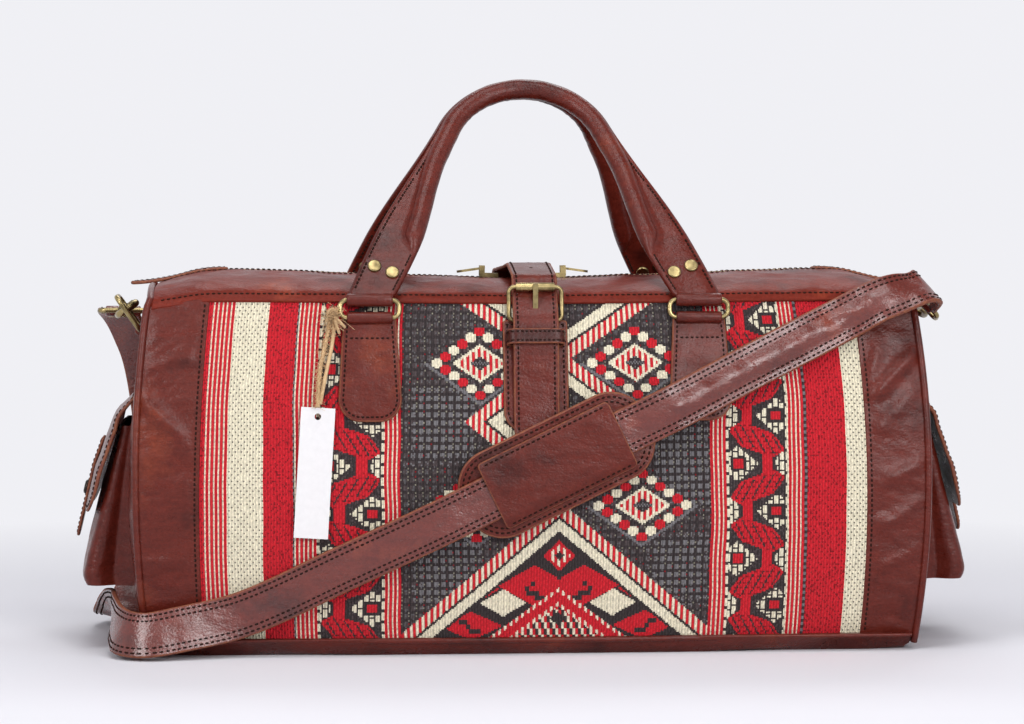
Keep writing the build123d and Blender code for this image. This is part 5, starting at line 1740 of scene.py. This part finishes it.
class BAG_OT_pockets(bpy.types.Operator):
    """Fold the bellows pockets and their flaps"""

    bl_idname = "bag.pockets"
    bl_label = "End pockets"

    def execute(self, context):
        sizes = context.scene.bag_sizes
        pocket = self.pocket(sizes)
        for end, x in ENDS:
            pocket.flipped(x).sew(end + "_pocket_leather", end + "_pocket")
        flap = self.flap(sizes)
        for end, x in ENDS:
            flap.flipped(x).sew(end + "_flap_leather", end + "_pocket_flap", body=end + "_flap")
        return {"FINISHED"}

    def pocket(self, sizes):
        """Right pocket with folded sides, a full front and a floor."""
        body = Shop.body
        low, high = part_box("right_pocket")
        thick = 0.002
        side = high.y - thick
        foot_out = high.x
        top_out = body.end(high.z) + 0.011
        foot_fold, top_fold = 0.010, 0.004
        foot_round, foot_tuck = 0.010, 0.004
        corner_in = 0.001
        full = 0.0044
        count, levels = 96, 40
        width = count + 1

        def plan(z):
            """Open line of the pocket seen from above, from the bag round to the bag."""
            share = (z - low.z) / (high.z - low.z)
            near = body.end(z) - 0.001
            far = foot_out + (top_out - foot_out) * share
            round_off = max(0, 1 - (z - low.z) / foot_round)
            far -= foot_tuck * round_off * round_off
            fold = foot_fold + (top_fold - foot_fold) * share
            mid = (near + far) / 2
            corners = [
                (near, -side),
                (mid, -side + fold),
                (far - thick, -side + corner_in),
                (far - thick, side - corner_in),
                (mid, side - fold),
                (near, side),
            ]
            points = [Vector(c) for c in corners]
            line = [points[0]]
            for a, b, c, radius in zip(points, points[1:], points[2:], (0.004, 0.005, 0.005, 0.004)):
                line += corner_points(a, b, c, radius, 0.002)
            line.append(points[-1])
            return even_path(line, 0.002)

        outer, inner = [], []
        for k in range(levels + 1):
            z = low.z + (high.z - low.z) * k / levels
            line = plan(z)
            lengths = path_lengths(line)
            spots = [on_path(line, lengths, lengths[-1] * i / count)[0] for i in range(width)]
            row = [Vector((spot.x, spot.y, z)) for spot in spots]
            for i, p in enumerate(row):
                along = row[min(i + 1, count)] - row[max(i - 1, 0)]
                normal = Vector((along.y, -along.x, 0)).normalized()
                swell = sizes.crease * 0.9 * crease(p.y, p.z, (1, 1.2), 28, 4.4)
                front = smoothed((0.36 - abs(i / count - 0.5)) / 0.16)
                puff = full * front * math.sqrt(math.sin(math.pi * min(1, 0.04 + 0.92 * k / levels)))
                outer.append(p + normal * (thick + swell * 0.5 + puff))
                inner.append(p + normal * puff)
        piece = Piece()
        faces = sheet_faces(levels, count)
        piece.put(outer, faces, HIDE)
        piece.put(inner, [f[::-1] for f in faces], HIDE)
        last = levels * width
        rim = [[i, i + 1, width + i + 1, width + i] for i in range(count)]
        piece.put(outer[last:] + inner[last:], rim, RAW_EDGE)
        middle = Vector((body.end(low.z), 0, low.z))
        for lift, turn in ((0, 1), (thick, -1)):
            ring = [p + UP * lift for p in outer[:width] + [middle]]
            piece.put(ring, [[i, i + 1, width][::turn] for i in range(count)], HIDE)
        self.mouth_rows(piece, outer, high.z, levels / (high.z - low.z), levels, width, sizes)
        return piece

    def mouth_rows(self, piece, outer, top, density, levels, width, sizes):
        """Two rows of stitches across the front, below the mouth of the pocket."""
        for drop in (0.004, 0.0075):
            base = int(levels - drop * density) * width
            for i in range(30, 66, 2):
                a, b = (Vector((p.x, p.y, top - drop)) for p in outer[base + i:base + i + 2])
                piece.stitch(a, b, ALONG, sizes)

    def flap(self, sizes):
        """Right flap with its closing tab."""
        root = Vector(joint_of("right_flap_open")["pos_m"])
        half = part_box("right_pocket_flap")[1].y
        profile = [
            (root.x, root.z),
            (root.x + 0.015, root.z - 0.014),
            (root.x + 0.029, root.z - 0.052),
            (root.x + 0.036, root.z - 0.082),
        ]
        path = bent_path(profile, 0.016, 0.003)
        lengths = path_lengths(path)
        total = lengths[-1]
        thick = sizes.hide
        curl_depth, curl_start = 0.004, 0.03
        tab_half, tab_past, tab_rise = 0.012, 0.022, 0.0006
        tip_run = 0.004

        def place(s, y):
            spot, way = on_path(path, lengths, s)
            out = Vector((-way.y, 0, way.x))
            out = out if out.x > 0 else -out
            curl = -curl_depth * (abs(y) / half) ** 4 * min(1, max(0, s) / curl_start)
            return Vector((spot.x, y, spot.y)) + out * (curl - thick / 2), out

        def relief(s, y):
            return sizes.crease * 0.8 * (crease(s, y, (1, 1), 24, 7.7) + 0.1)

        def tab_place(s, y):
            spot, out = place(min(s, total), y * 0.2)
            way = (place(total, 0)[0] - place(total - tip_run, 0)[0]).normalized()
            past = max(0, s - total)
            return Vector((spot.x, y, spot.z)) + way * past + out * (thick + tab_rise), out

        piece = Piece()
        outline = rounded((0, -half), (total, half), (0.003, 0.024, 0.024, 0.003), 0.003)
        piece.leaf(outline, place, thick, 0.004, relief)
        piece.hem(outline, sizes.stitch_in, sizes)
        low, high = (total * 0.45, -tab_half), (total + tab_past, tab_half)
        tab = rounded(low, high, (0.004, 0.010, 0.010, 0.004), 0.0025)
        piece.leaf(tab, tab_place, thick, 0.003)
        piece.hem(tab, 0.0028, sizes, 0.0034)
        return piece


# Middle of the shoulder strap with the way its outer face looks, from the left hook to the right one
SLING_ROUTE = (
    ((-0.2837, 0.0664, 0.2289), (0.00, 0.07, 1.00)),
    ((-0.2872, 0.1014, 0.2264), (0.00, 0.07, 1.00)),
    ((-0.2725, 0.1174, 0.1976), (0.00, 0.76, 0.65)),
    ((-0.2646, 0.1234, 0.1562), (0.00, 0.99, 0.15)),
    ((-0.2620, 0.1252, 0.1098), (0.00, 1.00, 0.05)),
    ((-0.2646, 0.1246, 0.0683), (0.00, 1.00, -0.10)),
    ((-0.2712, 0.1192, 0.0342), (0.00, 0.86, -0.51)),
    ((-0.2843, 0.1028, 0.0122), (0.00, 0.29, -0.96)),
    ((-0.2908, 0.0726, 0.0085), (-0.20, 0.00, -0.98)),
    ((-0.2895, 0.0363, 0.0146), (-0.60, 0.00, -0.80)),
    ((-0.2882, -0.0061, 0.0220), (-0.89, 0.00, -0.45)),
    ((-0.2869, -0.0484, 0.0244), (-1.00, 0.00, 0.00)),
    ((-0.2843, -0.0907, 0.0207), (-0.97, -0.15, 0.19)),
    ((-0.2777, -0.1125, 0.0178), (-0.79, -0.54, 0.30)),
    ((-0.2633, -0.1222, 0.0171), (-0.35, -0.89, 0.30)),
    ((-0.2437, -0.1210, 0.0200), (-0.10, -0.98, 0.20)),
    ((-0.1965, -0.1141, 0.0303), (0.00, -1.00, 0.03)),
    ((-0.1310, -0.1220, 0.0608), (0.00, -1.00, 0.00)),
    ((-0.0696, -0.1308, 0.0900), (0.00, -1.00, 0.00)),
    ((-0.0408, -0.1308, 0.1040), (0.00, -1.00, 0.00)),
    ((0.0670, -0.1308, 0.1566), (0.00, -1.00, 0.00)),
    ((0.0958, -0.1308, 0.1706), (0.00, -1.00, 0.00)),
    ((0.1441, -0.1152, 0.1942), (0.00, -1.00, 0.05)),
    ((0.1808, -0.1093, 0.2123), (0.00, -1.00, 0.10)),
    ((0.2148, -0.1031, 0.2289), (0.05, -0.95, 0.30)),
    ((0.2384, -0.1095, 0.2416), (0.20, -0.84, 0.50)),
    ((0.2687, -0.0996, 0.2492), (0.77, 0.04, 0.64)),
    ((0.2730, -0.0654, 0.2420), (0.77, 0.04, 0.64)),
)


def smooth_route(route, step):
    """Route points joined by one smooth line, with their faces turned along it."""
    spots = [Vector(p) for p, _ in route]
    faces = [Vector(f).normalized() for _, f in route]
    knots = path_lengths(spots)
    count = len(spots)
    ways = []
    for i in range(count):
        a, b = max(0, i - 1), min(count - 1, i + 1)
        ways.append((spots[b] - spots[a]) / (knots[b] - knots[a]))
    line, outs = [], []
    for i in range(count - 1):
        span = knots[i + 1] - knots[i]
        parts = max(1, round(span / step))
        for k in range(parts + (i == count - 2)):
            t = k / parts
            h1, h2 = 2 * t**3 - 3 * t**2 + 1, t**3 - 2 * t**2 + t
            h3, h4 = -2 * t**3 + 3 * t**2, t**3 - t**2
            near = spots[i] * h1 + ways[i] * (h2 * span)
            line.append(near + spots[i + 1] * h3 + ways[i + 1] * (h4 * span))
            outs.append(faces[i].lerp(faces[i + 1], smoothed(t)).normalized())
    return line, outs


class BAG_OT_shoulder_strap(bpy.types.Operator):
    """Lay the shoulder strap across the front and round the left end"""

    bl_idname = "bag.shoulder_strap"
    bl_label = "Shoulder strap"

    def execute(self, context):
        sizes = context.scene.bag_sizes
        line, outs = smooth_route(SLING_ROUTE, 0.003)
        lengths = path_lengths(line)
        total = lengths[-1]
        thick = 0.0034
        half = sizes.sling / 2
        pad_x = 0.0131
        pad_at = next(s for s, p in zip(lengths, line) if p.x > pad_x)
        # The strap is stuffed from past the pad to near its right end
        stuffed_from, stuffed_to = pad_at + 0.06, total - 0.05
        stuffed_half = half - 0.008

        def place(s, w):
            index = int(np.clip(np.searchsorted(lengths, s) - 1, 0, len(line) - 2))
            share = (s - lengths[index]) / (lengths[index + 1] - lengths[index])
            way = (line[index + 1] - line[index]).normalized()
            out = outs[index].lerp(outs[index + 1], min(1, max(0, share)))
            out = (out - way * out.dot(way)).normalized()
            across = out.cross(way)
            spot = line[index] + (line[index + 1] - line[index]) * share
            return spot + across * w - out * (thick / 2), out

        def relief(s, w):
            stuffed = min(1, max(0, (s - stuffed_from) / 0.03)) * min(1, max(0, (stuffed_to - s) / 0.04))
            middle = max(0, 1 - (abs(w) / stuffed_half) ** 2)
            wrinkle = crease(s, w, (1.5, 0.8), 36, 2.2)
            fine = crease(s + w * 0.5, w, (2.0, 0.5), 80, 6.1)
            swell = 0.0028 + 0.0013 * wrinkle + 0.0008 * fine
            return stuffed * middle * swell + 0.0004 * wrinkle * max(0, 1 - (abs(w) / half) ** 6)

        strap = Piece()
        outline = rounded((0, -half), (total, half), SQUARE, 0.003)
        strap.leaf(outline, place, thick, 0.003, relief, roll=0.0011)
        for margin in (0.0028, 0.0062):
            for sign in (-1, 1):
                w = (half - margin) * sign
                strap.row((0.02, w), (total - 0.012, w), 0.01, sizes)
        for name, index in (("right", -1), ("left", 0)):
            way = Vector(joint_of("snap_hook_" + name + "_swivel")["axis"]).normalized()
            end, face = (Vector(part) for part in SLING_ROUTE[index])
            strap.roll(end + way * 0.0028, way.cross(face), 0.0039, 0.0125)
        # The strap leather is lightened 1.2 times, a painted highlight over its real gloss
        strap.sew("shoulder_strap_leather", "shoulder_strap", hide="strap")
        return {"FINISHED"}


class BAG_OT_shoulder_pad(bpy.types.Operator):
    """Sew the shoulder pad and its sleeve"""

    bl_idname = "bag.shoulder_pad"
    bl_label = "Shoulder pad"

    def execute(self, context):
        sizes = context.scene.bag_sizes
        low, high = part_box("shoulder_pad")
        middle = (low + high) / 2
        out = Vector((0, -1, 0))
        along = Vector(joint_of("shoulder_pad_slide")["axis"]).normalized()
        along = along if along.x > 0 else -along
        across = out.cross(along)

        def at_depth(a, b, depth):
            spot = middle + along * a + across * b
            spot.y = depth
            return spot, out

        self.pad(sizes, at_depth, low.y, high.y)
        self.sleeve(sizes, at_depth, low.y)
        return {"FINISHED"}

    def pad(self, sizes, at_depth, top, bottom):
        """Padded leather under the strap, bent back towards its ends."""
        half, side = 0.069, 0.031
        flat_half, bend_run, bend_depth = 0.045, 0.024, 0.0045
        thick = bottom - top

        def place(a, b):
            bend = bend_depth * max(0, (abs(a) - flat_half) / bend_run) ** 2
            spot, out = at_depth(a, b, bottom)
            return spot + DEEP * (bend * 0.6), out

        def relief(a, b):
            return 0.0005 * (crease(a, b, (0.7, 1.2), 34, 1.9) - 0.2) - 0.0004

        outline = rounded((-half, -side), (half, side), [0.026] * 4, 0.0025)
        pad = Piece()
        pad.leaf(outline, place, thick, 0.003, relief, roll=0.0012)
        for margin in (0.0035, 0.0068):
            pad.hem(outline, margin, sizes)
        made = pad.sew("shoulder_pad_leather", "shoulder_pad", body="shoulder_pad")

    def sleeve(self, sizes, at_depth, top):
        """Leather sleeve over the strap, sewn down on the pad along both edges."""
        half, side, flat_side = 0.049, 0.0245, 0.0165
        thick, margin, end_margin = 0.0018, 0.0028, 0.004
        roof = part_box("pad_sleeve")[0].y

        def place(a, b):
            rise = 1 - max(0, (abs(b) - flat_side) / (side - flat_side)) ** 2
            return at_depth(a, b, top + (roof + thick - top) * max(0.02, rise))

        def relief(a, b):
            return 0.0006 * crease(a, b, (0.6, 1.0), 30, 5.5)

        sleeve = Piece()
        outline = rounded((-half, -side), (half, side), [0.003] * 4, 0.0025)
        sleeve.leaf(outline, place, thick, 0.0025, relief, roll=0.0008)
        for b in (-side + margin, side - margin):
            sleeve.row((-half + end_margin, b), (half - end_margin, b), 0.01, sizes)
        sleeve.sew("pad_sleeve_leather", "pad_sleeve", body="shoulder_pad")


# Route of the tag's twine from the handle ring down to the card
TWINE_ROUTE = (
    (-0.137, -0.1026, 0.235),
    (-0.141, -0.10812, 0.215),
    (-0.147, -0.11331, 0.191),
    (-0.1474, -0.11699, 0.1694),
)


class BAG_OT_tag(bpy.types.Operator):
    """Hang the blank swing tag on its twine"""

    bl_idname = "bag.tag"
    bl_label = "Swing tag"

    def execute(self, context):
        radius = 0.0015
        path = self.line()
        lengths = path_lengths(path)
        rng = random.Random(3)
        twine = self.strands(path, lengths, radius)
        fuzz = Piece()
        knot = path[0] + Vector((0, -0.0022, -0.0035))
        self.tie(fuzz, knot)
        self.second_ply(fuzz, path, lengths)
        self.tails(fuzz, knot)
        self.knot_fibres(fuzz, knot, rng)
        self.loose_fibres(fuzz, path, lengths, radius, rng)
        hairs = fuzz.make("twine_fibres", [Shop.finish["twine"]], "bag", "twine")
        piece = twine.make("tag_twine_jute", [Shop.finish["twine"]], "bag", "twine", ["tag_twine"])
        card = coat("tag_card", "card")
        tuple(TWINE_ROUTE[0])
        [tuple(p) for p in path]
        return {"FINISHED"}

    def line(self):
        """Points of the smooth line along the route."""
        curve = bpy.data.curves.new("twine_line", "CURVE")
        curve.dimensions = "3D"
        curve.resolution_u = 24
        spline = curve.splines.new("NURBS")
        spline.points.add(len(TWINE_ROUTE) - 1)
        for point, place in zip(spline.points, TWINE_ROUTE):
            point.co = (*place, 1)
        spline.order_u = 3
        spline.use_endpoint_u = True
        guide = bpy.data.objects.new("twine_guide", curve)
        points = [v.co.copy() for v in bpy.data.meshes.new_from_object(guide).vertices]
        bpy.data.objects.remove(guide)
        return points

    def strands(self, path, lengths, radius):
        """Three strands laid round each other."""
        lay = 0.009
        count = 120
        twine = Piece()
        for strand in range(3):
            points = []
            for k in range(count + 1):
                s = lengths[-1] * k / count
                spot, way = on_path(path, lengths, s)
                side = way.orthogonal().normalized()
                other = way.cross(side)
                angle = 2 * math.pi * (strand / 3 + s / lay)
                points.append(spot + (side * math.cos(angle) + other * math.sin(angle)) * radius * 0.45)
            twine.tube(points, radius * 0.56, 8)
        return twine

    def tie(self, fuzz, knot):
        """Turns of twine round the knot at the ring."""
        radius, thick = 0.0031, 0.00115
        count = 24
        for turn in range(4):
            tilt = 0.9 * turn + 0.3
            side = Vector((math.cos(tilt), -0.25, math.sin(tilt))).normalized()
            other = side.cross(Vector((0, 1, 0.3))).normalized()
            loop = []
            for k in range(count + 1):
                angle = 2 * math.pi * k / count
                loop.append(knot + (side * math.cos(angle) + other * math.sin(angle)) * radius)
            fuzz.tube(loop, thick, 7)

    def second_ply(self, fuzz, path, lengths):
        """Twine that runs back up beside the first."""
        count = 40
        points = []
        for k in range(count + 1):
            t = k / count
            spot = on_path(path, lengths, lengths[-1] * (0.02 + 0.95 * t))[0]
            bow = math.sin(math.pi * t)
            points.append(spot + Vector((0.0016 + 0.0032 * bow, -0.0006 * bow, 0)))
        fuzz.tube(points, 0.0013, 8)

    def tails(self, fuzz, knot):
        """Two cut ends below the knot."""
        sag = 0.002
        for tail in (Vector((0.0045, -0.003, -0.013)), Vector((0.0085, -0.002, -0.009))):
            points = []
            for t in (0, 0.25, 0.5, 0.75, 1):
                points.append(knot + tail * t + Vector((0, -sag * math.sin(math.pi * t), 0)))
            fuzz.tube(points, 0.0011, 7)

    def knot_fibres(self, fuzz, knot, rng):
        """Frayed fibres about the knot."""
        for _ in range(160):
            spot = knot + Vector((rng.gauss(0, 0.0026), rng.gauss(-0.001, 0.0014), rng.gauss(-0.002, 0.0034)))
            way = Vector((rng.uniform(-1, 1), rng.uniform(-1, 0.1), rng.uniform(-1, 0.7))).normalized()
            curl = Vector((rng.uniform(-1, 1), rng.uniform(-1, 0), rng.uniform(-1, 1))) * 0.002
            reach = rng.uniform(0.003, 0.0085)
            fuzz.tube([spot, spot + way * reach * 0.5 + curl, spot + way * reach + curl * 2], 0.00014, 4)

    def loose_fibres(self, fuzz, path, lengths, radius, rng):
        """Short fibres that stand off the twine."""
        droop = 0.001
        for _ in range(420):
            spot, way = on_path(path, lengths, rng.uniform(0, lengths[-1]))
            side = Vector((rng.uniform(-1, 1), rng.uniform(-1, 0.2), rng.uniform(-1, 1)))
            side = (side - way * side.dot(way) * 0.6).normalized()
            reach = rng.uniform(0.0012, 0.0046)
            twist = side.cross(way) * rng.uniform(-0.4, 0.4)
            hair = []
            for t in (0, 0.5, 1):
                off = (side + twist * t) * (radius * 0.7 + reach * t)
                hair.append(spot + off - UP * (droop * t))
            fuzz.tube(hair, 0.00013, 4)


BRASS_NODES = (
    "zip_slider_left", "zip_slider_right", "zip_pull_left", "zip_pull_right",
    "ring_front_left", "ring_front_right", "ring_back_left", "ring_back_right",
    "front_handle_rivets", "back_handle_rivets", "buckle_frame", "buckle_roller", "buckle_prong",
    "end_ring_left", "end_ring_right", "hook_eye_left", "hook_eye_right",
    "snap_hook_left", "snap_hook_right", "hook_gate_left", "hook_gate_right", "shoulder_strap_rivets",
)


class BAG_OT_hardware(bpy.types.Operator):
    """Give the rings, hooks, rivets and studs their metal"""

    bl_idname = "bag.hardware"
    bl_label = "Hardware"

    def execute(self, context):
        for name in BRASS_NODES + ("left_flap_stud", "right_flap_stud"):
            coat(name, "stud" if "stud" in name else "brass")
        return {"FINISHED"}


# Area lamps: place, aim, width, height and power
LAMPS = {
    "top_lamp": ((-0.2, -0.6, 1.9), (0, 0, 0.15), 1.2, 0.7, 14),
    "key_lamp": ((-1.5, -1.7, 1.15), (0, 0, 0.18), 0.8, 1.0, 22),
    "fill_lamp": ((1.6, -1.6, 0.9), (0, 0, 0.18), 0.6, 1.2, 8),
    "side_lamp": ((0.75, -2.05, 0.85), (0.1, 0, 0.2), 0.6, 0.9, 17),
    "front_lamp": ((0.4, -2.1, 1.7), (0, 0, 0.18), 0.6, 0.5, 5),
    "back_lamp": ((0.3, 1.5, 2.2), (0, 0, 0.2), 1.6, 0.8, 20),
}
WORLD_COLOUR = (0.94, 0.96, 1.0, 1)
WORLD_STRENGTH = 0.30
CAMERA_LENS = 119
CAMERA_SENSOR = 36
CAMERA_AIM = Vector((-0.0073, 0, 0.1942))
CAMERA_DISTANCE = 2.4
CAMERA_AZIMUTH = math.radians(-4.5)
CAMERA_ELEVATION = math.radians(2.5)
# Studio floor: radii of its flat rings, the radius of the curve up to the wall, the wall's height
FLOOR_RADII = (0.4, 1.2, 2.8, 5.4)
COVE_RADIUS = 1.2
WALL_HEIGHT = 8


class BAG_OT_stage(bpy.types.Operator):
    """Set up the pale studio, its lamps and the camera"""

    bl_idname = "bag.stage"
    bl_label = "Stage"

    def execute(self, context):
        scene = context.scene
        scene.view_settings.view_transform = "Standard"
        self.sweep(scene)
        self.light(scene)
        self.camera(scene)
        return {"FINISHED"}

    def light(self, scene):
        """Pale world and soft lamps."""
        scene.world = bpy.data.worlds.new("studio")
        scene.world.use_nodes = True
        tree = scene.world.node_tree
        fill(tree, tree.nodes["Background"], {"Color": WORLD_COLOUR, "Strength": WORLD_STRENGTH})
        for name, (place, aim, wide, tall, power) in LAMPS.items():
            data = bpy.data.lights.new(name, "AREA")
            data.shape = "RECTANGLE"
            data.size = wide
            data.size_y = tall
            data.energy = power
            lamp = bpy.data.objects.new(name, data)
            lamp.location = place
            lamp.rotation_euler = (Vector(aim) - Vector(place)).to_track_quat("-Z", "Y").to_euler()
            scene.collection.objects.link(lamp)

    def camera(self, scene):
        """Camera at the height and angle of a photographer before the bag."""
        data = bpy.data.cameras.new("camera")
        data.lens = CAMERA_LENS
        data.sensor_width = CAMERA_SENSOR
        camera = bpy.data.objects.new("camera", data)
        level = math.cos(CAMERA_ELEVATION)
        x, y = math.sin(CAMERA_AZIMUTH) * level, -math.cos(CAMERA_AZIMUTH) * level
        back = Vector((x, y, math.sin(CAMERA_ELEVATION)))
        camera.location = CAMERA_AIM + back * CAMERA_DISTANCE
        camera.rotation_euler = (-back).to_track_quat("-Z", "Y").to_euler()
        scene.collection.objects.link(camera)
        scene.camera = camera

    def sweep(self, scene):
        """Round floor that curves up into a wall on all sides."""
        turns, cove_count = 48, 12
        edge = FLOOR_RADII[-1]
        profile = [(radius, 0) for radius in FLOOR_RADII]
        for k in range(1, cove_count + 1):
            angle = math.pi / 2 * k / cove_count
            rise = COVE_RADIUS - COVE_RADIUS * math.cos(angle)
            profile.append((edge + COVE_RADIUS * math.sin(angle), rise))
        profile.append((edge + COVE_RADIUS, WALL_HEIGHT))
        points = [(0, 0, 0)]
        for radius, height in profile:
            for k in range(turns):
                angle = 2 * math.pi * k / turns
                points.append((radius * math.cos(angle), radius * math.sin(angle), height))
        faces = [(0, 1 + k, 1 + (k + 1) % turns) for k in range(turns)]
        for row in range(len(profile) - 1):
            for k in range(turns):
                a, b = 1 + row * turns + k, 1 + row * turns + (k + 1) % turns
                faces.append((a, a + turns, b + turns, b))
        mesh = bpy.data.meshes.new("studio_sweep")
        mesh.from_pydata(points, [], faces)
        mesh.polygons.foreach_set("use_smooth", [True] * len(faces))
        mesh.materials.append(self.paper(scene.bag_colours))
        floor = bpy.data.objects.new("studio_sweep", mesh)
        scene.collection.objects.link(floor)

    def paper(self, colours):
        """Pale paper that keeps the bag's shadow and glows evenly further out."""
        near, far = 0.42, 1.0
        material, tree, bsdf, spot = shader("studio_paper")
        haze = noise_node(tree, spot, 3, 2, 0.5)
        pale = tuple(colours.floor)
        shade = tuple(c * 0.99 for c in pale)
        tone = ramp_node(tree, haze, [(0.3, shade), (0.7, pale)])
        fill(tree, bsdf, {"Base Color": tone, "Roughness": 0.85})
        glow = add_node(tree, "Emission", {"Color": (*colours.backdrop, 1)})
        seen = tree.nodes.new("ShaderNodeLightPath").outputs
        direct = self.summed(tree, seen["Is Camera Ray"], seen["Is Glossy Ray"], "MAXIMUM")
        direct = self.summed(tree, direct, seen["Is Transmission Ray"], "MAXIMUM")
        reach = tree.nodes.new("ShaderNodeVectorMath")
        reach.operation = "LENGTH"
        tree.links.new(spot, reach.inputs[0])
        out_share = range_node(tree, reach.outputs["Value"], 0, 1, near, far)
        mix = tree.nodes.new("ShaderNodeMixShader")
        tree.links.new(self.summed(tree, direct, out_share, "MULTIPLY"), mix.inputs["Fac"])
        tree.links.new(bsdf.outputs["BSDF"], mix.inputs[1])
        tree.links.new(glow.outputs["Emission"], mix.inputs[2])
        tree.links.new(mix.outputs["Shader"], tree.nodes["Material Output"].inputs["Surface"])
        return material

    def summed(self, tree, first, second, operation):
        """Two values of a node tree joined by a math node."""
        node = tree.nodes.new("ShaderNodeMath")
        node.operation = operation
        tree.links.new(first, node.inputs[0])
        tree.links.new(second, node.inputs[1])
        return node.outputs["Value"]


class BAG_PT_panel(bpy.types.Panel):
    """Sidebar panel of the bag"""

    bl_label = "Travel Bag"
    bl_idname = "BAG_PT_panel"
    bl_space_type = "VIEW_3D"
    bl_region_type = "UI"
    bl_category = "Bag"

    def draw(self, context):
        layout = self.layout
        for group in (context.scene.bag_sizes, context.scene.bag_colours):
            box = layout.box()
            for name in group.__annotations__:
                box.prop(group, name)
        for operator in OPERATORS:
            layout.operator(operator.bl_idname)


OPERATORS = (
    BAG_OT_stage,
    BAG_OT_tag,
    BAG_OT_woven_panels,
    BAG_OT_leather_panels,
    BAG_OT_piping,
    BAG_OT_zip,
    BAG_OT_ring_tabs,
    BAG_OT_handles,
    BAG_OT_closing_strap,
    BAG_OT_end_tabs,
    BAG_OT_pockets,
    BAG_OT_shoulder_strap,
    BAG_OT_shoulder_pad,
    BAG_OT_hardware,
)
CLASSES = (BagSizes, BagColours, *OPERATORS, BAG_PT_panel)


def register():
    for cls in CLASSES:
        bpy.utils.register_class(cls)
    bpy.types.Scene.bag_sizes = bpy.props.PointerProperty(type=BagSizes)
    bpy.types.Scene.bag_colours = bpy.props.PointerProperty(type=BagColours)


def unregister():
    del bpy.types.Scene.bag_colours
    del bpy.types.Scene.bag_sizes
    for cls in reversed(CLASSES):
        bpy.utils.unregister_class(cls)


def main():
    register()
    Shop.open(bpy.context.scene.bag_colours)
    bpy.ops.bag.stage()
    bpy.ops.bag.tag()
    bpy.ops.bag.woven_panels()
    bpy.ops.bag.leather_panels()
    bpy.ops.bag.piping()
    bpy.ops.bag.zip()
    bpy.ops.bag.ring_tabs()
    bpy.ops.bag.handles()
    bpy.ops.bag.closing_strap()
    bpy.ops.bag.end_tabs()
    bpy.ops.bag.pockets()
    bpy.ops.bag.shoulder_strap()
    bpy.ops.bag.shoulder_pad()
    bpy.ops.bag.hardware()


if __name__ == "__main__":
    main()
